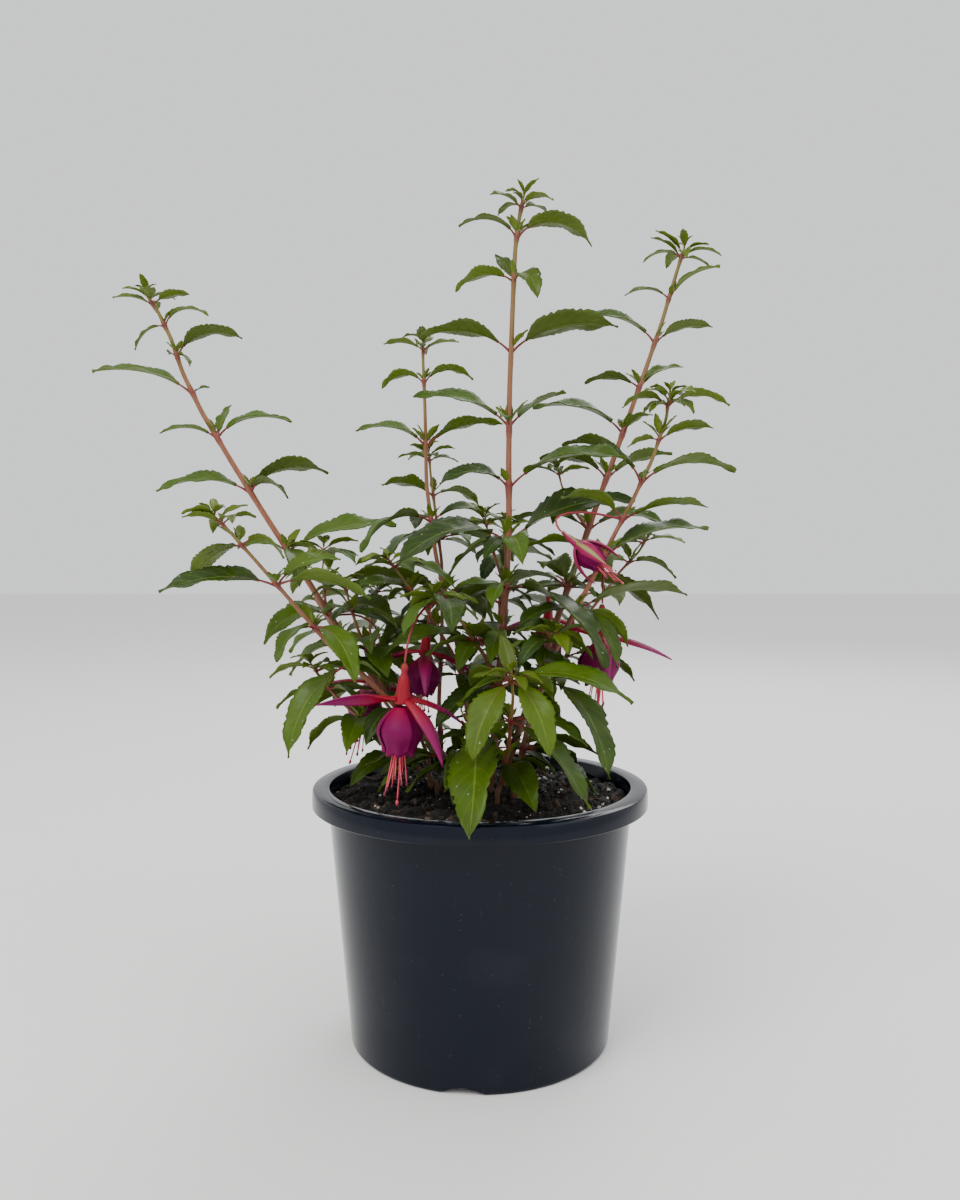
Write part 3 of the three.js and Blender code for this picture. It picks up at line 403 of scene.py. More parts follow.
def joint_at(stem, joint):
    points = stem_points(stem)
    place = joint + 1
    reach = min(0.5, len(points) - 1 - place)
    below, above = curve_at(points, place - reach), curve_at(points, place + reach)
    along = unit(above - below) if reach > 0 else tip_direction(stem)
    return (below + above) / 2, along, stem_radius(stem, place)


def leaf_root(stem, joint, azimuth):
    middle, along, radius = joint_at(stem, joint)
    outward = level_direction(azimuth)
    outward = unit(outward - along * outward.dot(along))
    return middle + outward * radius * ROOT_SHARE


# %% Blades: leaves and sepals share one rule for their middle line
def blade_angles(blade, share):
    rise = np.radians(blade["rise"] - blade["droop"] * share**0.7)
    heading = np.radians(blade["azimuth"] + blade["sway"] * share)
    roll = np.radians(blade["roll"] * np.minimum(1, 2.5 * share))
    return rise, heading, roll


def blade_line(blade):
    rise, heading, _ = blade_angles(blade, (np.arange(LINE_STEPS) + 0.5) / LINE_STEPS)
    level = np.cos(rise)
    moves = np.stack([level * np.cos(heading), level * np.sin(heading), np.sin(rise)], 1)
    steps = np.cumsum(moves * (blade["length"] / LINE_STEPS), 0)
    return blade["root"] + np.vstack([np.zeros(3), steps])


def blade_frame(blade, line, share):
    place = share * LINE_STEPS
    i = np.minimum(np.floor(place).astype(int), LINE_STEPS - 1)
    at = line[i] + (line[i + 1] - line[i]) * (place - i)[:, None]
    rise, heading, roll = blade_angles(blade, share)
    flat = np.stack([-np.sin(heading), np.cos(heading), np.zeros_like(heading)], 1)
    normal = np.stack([-np.sin(rise) * np.cos(heading), -np.sin(rise) * np.sin(heading), np.cos(rise)], 1)
    turn, hold = np.sin(roll)[:, None], np.cos(roll)[:, None]
    return at, flat * hold + normal * turn, normal * hold - flat * turn


def leaf_outline(share):
    t = np.clip((share - PETIOLE_SHARE) / (1 - PETIOLE_SHARE), 0, 1)
    return np.maximum(np.sin(np.pi * t**0.8), 0) ** 0.9


def leaf_half_width(leaf):
    return (leaf["length"] * LEAF_WIDTH_SHARE * leaf["breadth"]) / 2


def sepal_outline(share):
    return np.minimum(1, 0.5 + 1.4 * share) * (1 - share**2.6)


def blade_balls(blade, half_width, outline, fold):
    line = blade_line(blade)
    count = math.ceil(blade["length"] / BALL_SPACING)
    shares, outs = [], []
    for share in (np.arange(count) + 1) / count:
        reach = half_width * float(outline(np.array(share)))
        across = math.ceil(reach / BALL_SPACING)
        outs += [0.0 if across == 0 else reach * j / across for j in range(-across, across + 1)]
        shares += [share] * (2 * across + 1)
    shares, outs = np.array(shares), np.array(outs)[:, None]
    at, side, over = blade_frame(blade, line, shares)
    return at + side * outs + over * np.abs(outs) * math.sin(math.radians(fold)), shares


# %% Room: what stands already, as groups of balls
FREE_SHARE = 0.4
MOUTH_MARGIN = 4
OUTER_MARGIN = 3.5
taken = []


def gather(at, room, owner, shares=None):
    """A group of balls. Those on the first share of a leaf are free to meet balls of the same owner."""
    centre = at.mean(0)
    room = np.broadcast_to(np.asarray(room, float), len(at))
    free = np.zeros(len(at), bool) if shares is None else shares < FREE_SHARE
    radius = (np.linalg.norm(at - centre, axis=1) + room).max()
    return {"at": at, "room": room, "free": free, "owner": owner, "centre": centre, "radius": radius}


def is_in_pot(at):
    r = np.hypot(at[:, 0], at[:, 1])
    mouth = RIM_RADIUS - RIM_WIDTH - MOUTH_MARGIN
    over_rim = (r > mouth) & (at[:, 2] < POT_HEIGHT + RIM_CLEARANCE)
    over_mix = (r <= mouth) & (at[:, 2] < SOIL_TOP + SOIL_CLEARANCE)
    return bool(((r <= RIM_RADIUS + OUTER_MARGIN) & (over_rim | over_mix)).any())


def is_clear(mine):
    if is_in_pot(mine["at"]):
        return False
    centres = np.array([theirs["centre"] for theirs in taken])
    radii = np.array([theirs["radius"] for theirs in taken])
    near = np.linalg.norm(centres - mine["centre"], axis=1) <= radii + mine["radius"]
    for i in np.nonzero(near)[0]:
        theirs = taken[i]
        apart = np.linalg.norm(mine["at"][:, None] - theirs["at"][None], axis=2)
        meets = apart < mine["room"][:, None] + theirs["room"][None]
        if theirs["owner"] == mine["owner"]:
            meets &= ~(mine["free"][:, None] | theirs["free"][None])
        if meets.any():
            return False
    return True


# %% Growing one leaf: swing, lift and share of the length are tried in turn
PLACINGS = [
    (0, 0, 1), (10, 0, 1), (-10, 0, 1), (0, 12, 1), (0, -12, 1), (18, 8, 1), (-18, 8, 1),
    (20, -10, 1), (-20, -10, 1), (0, 24, 0.95), (30, 10, 0.9), (-30, 10, 0.9), (0, -24, 0.9),
    (14, 32, 0.85), (-14, 32, 0.85), (42, 0, 0.8), (-42, 0, 0.8), (0, 42, 0.75), (24, 24, 0.6),
    (-24, 24, 0.6), (0, 10, 0.45),
]


def leaf_at(stem, joint, azimuth, length, rise, droop, play):
    return {
        "root": leaf_root(stem, joint, azimuth),
        "azimuth": azimuth + draw(-8, 8) * play,
        "length": length * (1 + draw(-0.08, 0.08) * play),
        "rise": rise + draw(-6, 6) * play,
        "droop": droop + draw(-10, 10) * play,
        "sway": draw(-16, 16),
        "roll": (-1 if draw(0, 1) < 0.5 else 1) * draw(8, 30),
        "breadth": draw(0.9, 1.1),
        "joint": joint,
    }


def grow_leaf(wanted, owner, leaves):
    for swing, lift, share in PLACINGS:
        leaf = dict(wanted)
        leaf["azimuth"] += swing
        leaf["rise"] += lift
        leaf["length"] *= share
        at, shares = blade_balls(leaf, leaf_half_width(leaf), leaf_outline, LEAF_FOLD)
        room = gather(at, LEAF_ROOM, owner, shares)
        if is_clear(room):
            taken.append(room)
            leaves.append(leaf)
            return


# %% Flower and bud stalks: an arch from the joint that comes down onto the top
def turned_from_up(axis):
    x, y, z = axis
    cross = np.array([[0, 0, x], [0, 0, y], [-x, -y, 0]])
    return np.eye(3) + cross + cross @ cross / (1 + z)


def bloom_place(bloom):
    azimuth, tilt = (math.radians(angle) for angle in bloom["lean"])
    level = -math.sin(tilt)
    axis = np.array([level * math.cos(azimuth), level * math.sin(azimuth), math.cos(tilt)])
    turned = turned_from_up(axis)
    return lambda p: (np.asarray(p, float) * bloom["size"]) @ turned.T + np.array(bloom["mouth"], float)


def stalk_line(start, end, axis):
    lift = np.linalg.norm(end - start) * 0.45
    before = end + axis * lift
    after = (start + before) / 2 + np.array([0, 0, lift * 0.35])
    t = np.array([0, 0.25, 0.5, 0.75])[:, None]
    arch = start * (1 - t) ** 3 + after * (3 * t * (1 - t) ** 2) + before * (3 * t * t * (1 - t)) + end * t**3
    return np.vstack([arch, end + axis * 1.5, end])


def bloom_stalk(bloom):
    place = bloom_place(bloom)
    end = place([0, 0, OVARY_TOP + STALK_GAP / bloom["size"]])
    start = joint_at(stem_named(bloom["stem"]), bloom["joint"])[0]
    return stalk_line(start, end, unit(place([0, 0, 1]) - place([0, 0, 0])))


def bud_stalk(bud):
    name, joint, azimuth, length = bud
    start = joint_at(stem_named(name), joint)[0]
    end = start + level_direction(azimuth) * length - np.array([0, 0, length * 0.5])
    return stalk_line(start, end, np.array([0, 0, 1.0]))


def line_balls(line):
    at = []
    for a, b in zip(line[:-1], line[1:]):
        count = math.ceil(np.linalg.norm(b - a) / BALL_SPACING)
        at += [a + (b - a) * (k / count) for k in range(count)]
    return np.array(at)


# %% Sepals as blades in the flower's own upright frame, and the room that a flower takes
SEPAL_ROOM = 2.6
CORE = [[16, 4], [8, 6], [-4, 7], [-11, 11], [-18, 14], [-25, 13], [-34, 8], [-42, 8], [-50, 8]]


def sepal_blades(bloom):
    blades = []
    for azimuth, rise, droop, *roll in bloom["sepals"]:
        out, height = SEPAL_ROOT
        root = level_direction(azimuth) * out + np.array([0, 0, height])
        blade = {"root": root, "azimuth": azimuth, "rise": rise, "droop": droop}
        blades.append(blade | {"length": SEPAL_LENGTH, "sway": 6, "roll": roll[0] if roll else 8})
    return blades


def bloom_balls(bloom):
    place = bloom_place(bloom)
    at = [place([0, 0, z]) for z, _ in CORE]
    room = [r * bloom["size"] for _, r in CORE]
    for sepal in sepal_blades(bloom):
        balls, _ = blade_balls(sepal, SEPAL_HALF_WIDTH, sepal_outline, 10)
        at += list(place(balls))
        room += [SEPAL_ROOM] * len(balls)
    return np.array(at), room


# %% Growing the plant: stems and flowers first, then listed leaves, tips, and the rest by rule
STALK_ROOM = 2.2
BUD_ROOM = 4.5
LISTED_PLAY = 0.3
RULE_PLAY = 1.4
TUFT_RISE = 48
TUFT_DROOP = 70


def rule_length(stem, joint):
    tip = np.array(stem["joints"][-1], float)
    away = np.linalg.norm(tip - np.array(stem["joints"][joint], float))
    return min(stem["reach"], 26 + 0.75 * away)


def grow_whorl(stem, joint, leaves):
    height = joint / (len(stem["joints"]) - 1)
    first = stem["turn"] + (180 / stem["whorl"]) * joint
    droop = USUAL_DROOP + LOW_DROOP * (1 - height)
    for i in range(stem["whorl"]):
        azimuth = first + (360 / stem["whorl"]) * i
        leaf = leaf_at(stem, joint, azimuth, rule_length(stem, joint), USUAL_RISE, droop, RULE_PLAY)
        grow_leaf(leaf, owner_of(stem), leaves)


def grow_plant():
    for stem in STEMS:
        balls = line_balls(stem_points(stem))
        taken.append(gather(balls, stem["girth"] + STEM_ROOM, owner_of(stem)))
    stalks = [(bloom["stem"], bloom_stalk(bloom)) for bloom in BLOOMS]
    stalks += [(bud[0], bud_stalk(bud)) for bud in BUDS]
    for name, line in stalks:
        taken.append(gather(line_balls(line), STALK_ROOM, owner_of(stem_named(name))))
    for bloom in BLOOMS:
        at, room = bloom_balls(bloom)
        taken.append(gather(at, room, bloom["name"]))
    for bud in BUDS:
        top = bud_stalk(bud)[-1]
        depths = [0, 2.5, 6, 11, 16, BUD_LENGTH]
        line = np.array([top - [0, 0, depth + STALK_GAP] for depth in depths])
        taken.append(gather(line_balls(line), BUD_ROOM, "bud"))
    leaves = {stem["name"]: [] for stem in STEMS}
    for stem in STEMS:
        for joint, azimuth, length, rise, droop in stem["leaves"]:
            leaf = leaf_at(stem, joint, azimuth, length, rise, droop, LISTED_PLAY)
            grow_leaf(leaf, owner_of(stem), leaves[stem["name"]])
    for stem in STEMS:
        last = len(stem["joints"]) - 1
        for azimuth in (stem["turn"], stem["turn"] + 180):
            leaf = leaf_at(stem, last, azimuth, TUFT_LENGTH, TUFT_RISE, TUFT_DROOP, 1)
            grow_leaf(leaf, owner_of(stem), leaves[stem["name"]])
    for stem in STEMS:
        listed = {row[0] for row in stem["leaves"]}
        for joint in range(1 if "root" in stem else 0, len(stem["joints"]) - 1):
            if joint not in listed:
                grow_whorl(stem, joint, leaves[stem["name"]])
    return leaves


leaves_of = grow_plant()
print("leaves grown", sum(len(leaves) for leaves in leaves_of.values()))


# %% [markdown]
# ## Blanks and moulds
# Every leaf has the same make-up: a thin sheet, closed all round. So it is modelled once, flat, as a grid
# that Solidify turns into a closed sheet. Blender could bend each copy with a Curve modifier, but two
# hundred leaves would need as many curves. The copies are bent in code instead, by the rule that placed
# their solids, and the leaves of one stem are joined into one mesh.

# %% Small tools for operators and meshes, which are in metres
MM = 0.001


def nothing_selected():
    if bpy.context.mode != "OBJECT":
        bpy.ops.object.mode_set(mode="OBJECT")
    bpy.ops.object.select_all(action="DESELECT")


def apply_modifiers(piece):
    nothing_selected()
    piece.select_set(True)
    bpy.context.view_layer.objects.active = piece
    for modifier in list(piece.modifiers):
        bpy.ops.object.modifier_apply(modifier=modifier.name)


def points_of(piece):
    points = np.empty(len(piece.data.vertices) * 3)
    piece.data.vertices.foreach_get("co", points)
    return points.reshape(-1, 3)


def rows_of(*parts):
    """One row for each point, from arrays and single numbers."""
    return np.stack(np.broadcast_arrays(*parts), 1)


def take_blank(piece):
    """The points and faces of a modelled blank, which is then cleared away."""
    blank = {"points": points_of(piece), "faces": [tuple(face.vertices) for face in piece.data.polygons]}
    bpy.data.objects.remove(piece)
    return blank


def sheet_blank(rows, columns):
    """A closed flat sheet: x runs 0 to 1 along it, y runs -1 to 1 across it, z is 1 on top and 0 below."""
    nothing_selected()
    bpy.ops.mesh.primitive_grid_add(x_subdivisions=rows, y_subdivisions=columns, size=2)
    piece = bpy.context.object
    solid = piece.modifiers.new("thickness", "SOLIDIFY")
    solid.thickness = 1
    solid.offset = 0
    apply_modifiers(piece)
    blank = take_blank(piece)
    blank["points"] = (blank["points"] + [1, 0, 0.5]) * [0.5, 1, 1]
    blank["teeth"] = rows // 3
    return blank


def rod_blank(rows, sides):
    """A closed round rod: x is its angle in radians, y runs 0 to 1 along it, z is its share of the radius."""
    nothing_selected()
    bpy.ops.mesh.primitive_cylinder_add(vertices=sides, radius=1, depth=1, end_fill_type="TRIFAN")
    bpy.ops.object.mode_set(mode="EDIT")
    for k in range(1, rows):
        bpy.ops.mesh.select_all(action="SELECT")
        bpy.ops.mesh.bisect(plane_co=(0, 0, k / rows - 0.5), plane_no=(0, 0, 1))
    bpy.ops.object.mode_set(mode="OBJECT")
    blank = take_blank(bpy.context.object)
    x, y, z = blank["points"].T
    blank["points"] = np.stack([np.arctan2(y, x), z + 0.5, np.round(np.hypot(x, y))], 1)
    return blank


# %% The blanks, with only as many faces as the size of each part needs
large_leaf_blank = sheet_blank(42, 8)
middle_leaf_blank = sheet_blank(24, 6)
small_leaf_blank = sheet_blank(12, 4)
sepal_blank = sheet_blank(16, 8)
petal_blank = sheet_blank(18, 20)
stalk_blank = rod_blank(8, 6)
thin_blank = rod_blank(10, 5)
print("leaf blank", len(large_leaf_blank["faces"]), "faces, stalk", len(stalk_blank["faces"]))


# %% A heap collects bent copies of blanks and becomes one piece
def new_heap():
    return {"points": [], "faces": [], "uv": [], "tint": [], "count": 0}


def add_to(heap, blank, points, uv, tint):
    start = heap["count"]
    heap["points"].append(points)
    heap["faces"] += [tuple(start + i for i in face) for face in blank["faces"]]
    heap["uv"].append(uv)
    heap["tint"].append(np.broadcast_to(np.asarray(tint, float), (len(points), 4)))
    heap["count"] += len(points)


def piece_from(heap, name, material, slot_name, *nodes):
    """One mesh at the origin with a UV map and the colour attribute tint."""
    mesh = bpy.data.meshes.new(name)
    mesh.from_pydata((np.vstack(heap["points"]) * MM).tolist(), [], heap["faces"])
    corners = np.empty(len(mesh.loops), np.int32)
    mesh.loops.foreach_get("vertex_index", corners)
    layer = mesh.uv_layers.new(name="UVMap")
    layer.data.foreach_set("uv", np.vstack(heap["uv"])[corners].astype(np.float32).ravel())
    tint = mesh.attributes.new("tint", "FLOAT_COLOR", "POINT")
    tint.data.foreach_set("color", np.vstack(heap["tint"]).astype(np.float32).ravel())
    mesh.polygons.foreach_set("use_smooth", np.ones(len(mesh.polygons), bool))
    mesh.materials.append(material)
    mesh.update()
    piece = bpy.data.objects.new(name, mesh)
    bpy.context.collection.objects.link(piece)
    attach(piece, "root")
    if nodes:
        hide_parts(*nodes)
    return piece


# %% [markdown]
# ## Materials
# Each finish starts from what the real surface is, with the gloss and IOR that are typical of it, which
# are then matched to the plant. A painted image would be the quick way, but patterns that are worked out
# from sizes in millimetres stay sharp from near, and give each leaf a tone of its own. One function adds a
# node with its settings and links, and one turns hex colours into the linear values that Blender mixes.
# The attribute tint carries four shares for each point of a piece. The first is one chance for a whole
# leaf. What the others mean, such as youth, height or upper side, is up to the finish that reads them.

# %% Small functions: colours, nodes, the scales of patterns, and links to a shader
def colour(text):
    shares = [int(text[i : i + 2], 16) / 255 for i in (1, 3, 5)]
    return [s / 12.92 if s <= 0.04045 else ((s + 0.055) / 1.055) ** 2.4 for s in shares] + [1]


# The settings of a node that mixes two colours, and of one that eases a value from one range to another
COLOURS = {"data_type": "RGBA"}
EASED = {"interpolation_type": "SMOOTHSTEP"}


def add(tree, kind, inputs=None, **settings):
    """A new node with its settings and links. A text among its inputs is a hex colour."""
    made = tree.nodes.new("ShaderNode" + kind)
    for name, value in settings.items():
        setattr(made, name, value)
    for name, value in (inputs or {}).items():
        if isinstance(value, bpy.types.NodeSocket):
            tree.links.new(value, made.inputs[name])
        else:
            made.inputs[name].default_value = colour(value) if isinstance(value, str) else value
    return made


def per(size):
    """The scale of a pattern whose marks are so many millimetres across."""
    return 1000 / size


def bands(width, spacing):
    """The scale of a wave that runs across a blade of this width, with stripes at this spacing in mm."""
    return 2 * math.pi / 20 * width / spacing


def feed(shader, **values):
    """Links each value to the input of that name."""
    for name, value in values.items():
        shader.id_data.links.new(value, shader.inputs[name.replace("_", " ")])


def new_material(name, **settings):
    material = bpy.data.materials.new(name)
    material.use_nodes = True
    shader = material.node_tree.nodes["Principled BSDF"]
    for key, value in settings.items():
        shader.inputs[key.replace("_", " ")].default_value = value
    return material, material.node_tree, shader


def tint_of(tree):
    """The four shares of the tint attribute: the first three and the fourth."""
    read = add(tree, "Attribute", attribute_name="tint")
    parts = add(tree, "SeparateColor", {0: read.outputs["Color"]}).outputs
    return parts[0], parts[1], parts[2], read.outputs["Alpha"]


# %% [markdown]
# ## The finish of a leaf
# A fuchsia leaf is satin with a wet gloss. Its upper side is deep green, lighter where the light comes
# through, the youngest leaves are yellow-green, and the underside is pale. The midrib is thin and pale,
# it flushes red near the stalk, and the side veins show mostly as creases. A few pale specks on the upper
# sides are painted highlights, where drops of water glint. The pattern follows the UV map, so that the
# veins bend with the blade: u runs from stalk to tip and v from edge to edge. The wax on a leaf has an IOR
# of about 1.45. It is matched a little lower here, which keeps the greens deep under a pale sky.

# %% Living leaf: the veins that the mesh puckers between are drawn at the same places
VEIN_PAIRS = 7
VEIN_SWEEP = 0.42
leaf_material, tree, shader = new_material("living_fuchsia_leaf", IOR=1.38)
tone, youth, upper, stalk = tint_of(tree)
split = add(tree, "SeparateXYZ", {0: add(tree, "UVMap", uv_map="UVMap").outputs[0]})
along, across = split.outputs[0], split.outputs[1]
centred = add(tree, "Math", {0: across, 1: 0.5}, operation="SUBTRACT").outputs[0]
out = add(tree, "Math", {0: centred}, operation="ABSOLUTE").outputs[0]
swept = add(tree, "Math", {0: out, 1: -VEIN_SWEEP, 2: along}, operation="MULTIPLY_ADD").outputs[0]
phase = add(tree, "Math", {0: swept, 1: VEIN_PAIRS / (1 - PETIOLE_SHARE)}, operation="MULTIPLY").outputs[0]
wave = add(tree, "Math", {0: phase, 1: 0.5}, operation="PINGPONG").outputs[0]
side_vein = add(tree, "MapRange", {0: wave, 1: 0.0, 2: 0.1, 3: 1.0, 4: 0.0}, **EASED).outputs[0]
midrib = add(tree, "MapRange", {0: out, 1: 0.008, 2: 0.035, 3: 1.0, 4: 0.0}, **EASED).outputs[0]
veins = add(tree, "Math", {0: side_vein, 1: 0.4, 2: midrib}, operation="MULTIPLY_ADD").outputs[0]
where = add(tree, "TexCoord").outputs["Object"]

# %% Greens: patches 14 mm across, deeper or yellower from leaf to leaf, pale below, red at the stalk
patches = add(tree, "TexNoise", {"Vector": where, "Scale": per(14), "Detail": 2}).outputs[0]
shade = add(tree, "Math", {0: patches, 1: 0.8, 2: tone}, operation="MULTIPLY_ADD").outputs[0]
share = add(tree, "MapRange", {0: shade, 1: 0.35, 2: 1.3}, **EASED).outputs[0]
green = add(tree, "Mix", {0: share, 6: "#1f3602", 7: "#4a6604"}, **COLOURS).outputs[2]
green = add(tree, "Mix", {0: youth, 6: green, 7: "#67780a"}, **COLOURS).outputs[2]
pale = add(tree, "Mix", {0: 0.35, 6: green, 7: "#788a34"}, **COLOURS).outputs[2]
green = add(tree, "Mix", {0: upper, 6: pale, 7: green}, **COLOURS).outputs[2]
share = add(tree, "MapRange", {0: along, 1: 0.15, 2: 0.6}, **EASED).outputs[0]
rib = add(tree, "Mix", {0: share, 6: "#96464a", 7: "#849a3c"}, **COLOURS).outputs[2]
vein_share = add(tree, "Math", {0: veins, 1: 0.4}, operation="MULTIPLY").outputs[0]
green = add(tree, "Mix", {0: vein_share, 6: green, 7: rib}, **COLOURS).outputs[2]
green = add(tree, "Mix", {0: stalk, 6: green, 7: "#8c2f36"}, **COLOURS).outputs[2]

# %% Painted glints: one in ten 3 mm cells holds a pale painted highlight, on the upper side only
glint_cells = add(tree, "TexVoronoi", {"Vector": where, "Scale": per(3)})
chosen = add(tree, "SeparateColor", {0: glint_cells.outputs["Color"]}).outputs[0]
share = add(tree, "MapRange", {0: chosen, 1: 0.9, 2: 0.92}, **EASED).outputs[0]
chosen = add(tree, "Math", {0: share, 1: upper}, operation="MULTIPLY").outputs[0]
painted_glint = add(tree, "MapRange", {0: glint_cells.outputs[0], 1: 0.1, 2: 0.2, 3: 0.6, 4: 0.0}, **EASED).outputs[0]
painted_glint = add(tree, "Math", {0: painted_glint, 1: chosen}, operation="MULTIPLY").outputs[0]
# The pale specks mixed in here are painted highlights, where water drops glint.
green = add(tree, "Mix", {0: painted_glint, 6: green, 7: "#c2cbb8"}, **COLOURS).outputs[2]
print("greens", len(tree.nodes), "nodes")

# %% Gloss and relief: shallow blisters 5 mm across, and creases where the veins run
gloss = add(tree, "MapRange", {0: patches, 1: 0.35, 2: 0.65, 3: 0.55, 4: 0.36}, **EASED).outputs[0]
relief = add(tree, "Math", {0: veins, 1: -0.5}, operation="MULTIPLY").outputs[0]
blisters = add(tree, "TexNoise", {"Vector": where, "Scale": per(5), "Detail": 0}).outputs[0]
relief = add(tree, "Math", {0: blisters, 1: 0.9, 2: relief}, operation="MULTIPLY_ADD").outputs[0]
bump = add(tree, "Bump", {"Strength": 0.3, "Distance": 0.0005, "Height": relief}).outputs[0]
feed(shader, Base_Color=green, Roughness=gloss, Normal=bump)

# %% Light that comes through a leaf is yellower than the light that it sends back
blend = add(tree, "Mix", {0: 0.5, 6: green, 7: "#86a008"}, **COLOURS).outputs[2]
glow = add(tree, "BsdfTranslucent", {"Color": blend})
both = add(tree, "MixShader", {0: 0.25, 1: shader.outputs[0], 2: glow.outputs[0]})
tree.links.new(both.outputs[0], tree.nodes["Material Output"].inputs["Surface"])
print("leaf finish", len(tree.nodes), "nodes")

# %% [markdown]
# ## The finish of the stems
# A young stem is red-brown and woody near the soil, flushed pink in the middle and green at the tip. Its
# joints are dark red. Here the tint carries how far up a point is, how near to a joint, and whether it is
# the thin red stalk of a flower. Bark could have its fibres modelled, but at this distance they only break
# up the colour and dull the shine, so a long grain does both. It is satin, with the IOR of wax.

# %% Young fuchsia bark: fibres are about 0.3 mm wide, drawn 1.4 mm wide so that they show
bark_material, tree, shader = new_material("young_fuchsia_bark", Roughness=0.45, IOR=1.45)
_, height, nearness, red_stalk = tint_of(tree)
where = add(tree, "TexCoord").outputs["Object"]
long = add(tree, "Mapping", {0: where, "Scale": (1, 1, 0.12)}).outputs[0]
streaks = add(tree, "TexNoise", {"Vector": long, "Scale": per(1.4), "Detail": 3}).outputs[0]
low = add(tree, "Mix", {0: streaks, 6: "#553722", 7: "#8a6444"}, **COLOURS).outputs[2]
middle = add(tree, "Mix", {0: streaks, 6: "#743228", 7: "#966644"}, **COLOURS).outputs[2]
top = add(tree, "Mix", {0: streaks, 6: "#6e4c28", 7: "#787c2e"}, **COLOURS).outputs[2]
share = add(tree, "MapRange", {0: height, 1: 0.05, 2: 0.4}, **EASED).outputs[0]
bark = add(tree, "Mix", {0: share, 6: low, 7: middle}, **COLOURS).outputs[2]
share = add(tree, "MapRange", {0: height, 1: 0.55, 2: 1.0}, **EASED).outputs[0]
bark = add(tree, "Mix", {0: share, 6: bark, 7: top}, **COLOURS).outputs[2]
bark = add(tree, "Mix", {0: nearness, 6: bark, 7: "#6a1424"}, **COLOURS).outputs[2]
bark = add(tree, "Mix", {0: red_stalk, 6: bark, 7: "#8e2233"}, **COLOURS).outputs[2]
bump = add(tree, "Bump", {"Strength": 0.4, "Distance": 0.0003, "Height": streaks}).outputs[0]
feed(shader, Base_Color=bark, Normal=bump)
print("bark finish", len(tree.nodes), "nodes")

# %% [markdown]
# ## Bending the blanks
# A leaf blank is laid along its leaf's middle line. Its edge is cut into small forward teeth, it dips
# along the midrib, puckers up between the side veins and waves a little at the edge. The stalk is a thin
# rod along the first part of the same line. A bump map could stand in for all this, but it would leave the
# outline of the leaf smooth, and it is the toothed edge that tells the eye how large a leaf is.

# %% Rods along a line of points
def rod_points(blank, line, radii):
    angle, along, out = blank["points"].T
    tangents = np.gradient(line, axis=0)
    tangents /= np.linalg.norm(tangents, axis=1)[:, None]
    across = np.empty_like(line)
    start = np.array([0, 1.0, 0]) if abs(tangents[0][1]) < 0.7 else np.array([1.0, 0, 0])
    for i, tangent in enumerate(tangents):
        start = unit(start - tangent * start.dot(tangent))
        across[i] = start
    over = np.cross(tangents, across)
    place = along * (len(line) - 1)
    i = np.minimum(place.astype(int), len(line) - 2)
    t = (place - i)[:, None]
    at = line[i] * (1 - t) + line[i + 1] * t
    radii = np.asarray(radii, float)
    radius = (radii[i] * (1 - t[:, 0]) + radii[i + 1] * t[:, 0]) * out
    spoke = (across[i] * (1 - t) + across[i + 1] * t) * np.cos(angle)[:, None]
    spoke += (over[i] * (1 - t) + over[i + 1] * t) * np.sin(angle)[:, None]
    return at + spoke * radius[:, None]


# %% Which blank a leaf is cut from, by its length
SMALL_LEAF = 20
LARGE_LEAF = 38


def blank_for(leaf):
    if "young" in leaf or leaf["length"] < SMALL_LEAF:
        return small_leaf_blank
    return middle_leaf_blank if "filler" in leaf or leaf["length"] < LARGE_LEAF else large_leaf_blank


# %% The surface of one blade: one tooth for three rows of the blank, offset between the two edges
TOOTH_CUT = 0.22
PUCKER = 0.6
EDGE_WAVE = 0.09


def blade_surface(blank, leaf):
    row, across, top = blank["points"].T
    chance = leaf["chance"]
    share = PETIOLE_SHARE + (1 - PETIOLE_SHARE) * row
    half = leaf_half_width(leaf)
    edge = np.abs(across)
    side_of = np.sign(across)
    tooth = (row * blank["teeth"] + 0.02 + (across > 0) / 3) % 1 - 0.6
    cut = TOOTH_CUT * (0.7 + 0.5 * np.sin(23 * row + 40 * chance))
    width = half * np.maximum(leaf_outline(share), 0.03) * (1 + cut * tooth * edge**5)
    lift = width * math.sin(math.radians(LEAF_FOLD)) * edge**1.3
    lift += EDGE_WAVE * half * edge**2 * np.sin((11 + 5 * chance) * row + 6.3 * chance + 1.6 * side_of)
    lift += 0.04 * half * edge * np.sin(19 * row + 9 * chance + 2.2 * side_of)
    vein_phase = (share - VEIN_SWEEP / 2 * edge) * VEIN_PAIRS / (1 - PETIOLE_SHARE)
    vein_wave = np.abs(vein_phase % 1 - 0.5) * 2
    puckered = PUCKER * min(1, half / 10) ** 2 * (1 - vein_wave) ** 2 * (1 - edge**4)
    puckered = puckered * (1 - np.exp(-((across / 0.2) ** 2)))
    rib = np.exp(-((across / 0.09) ** 2)) * min(1, half / 6)
    thickness = 0.1 + 0.12 * min(1, half / 6)
    over_top = thickness + puckered - 0.3 * rib
    under = -thickness + puckered - (0.3 + 0.6 * (1 - row)) * rib
    line = blade_line(leaf)
    at, side, over = blade_frame(leaf, line, share)
    height = lift + np.where(top > 0.5, over_top, under)
    return at + side * (across * width)[:, None] + over * height[:, None]


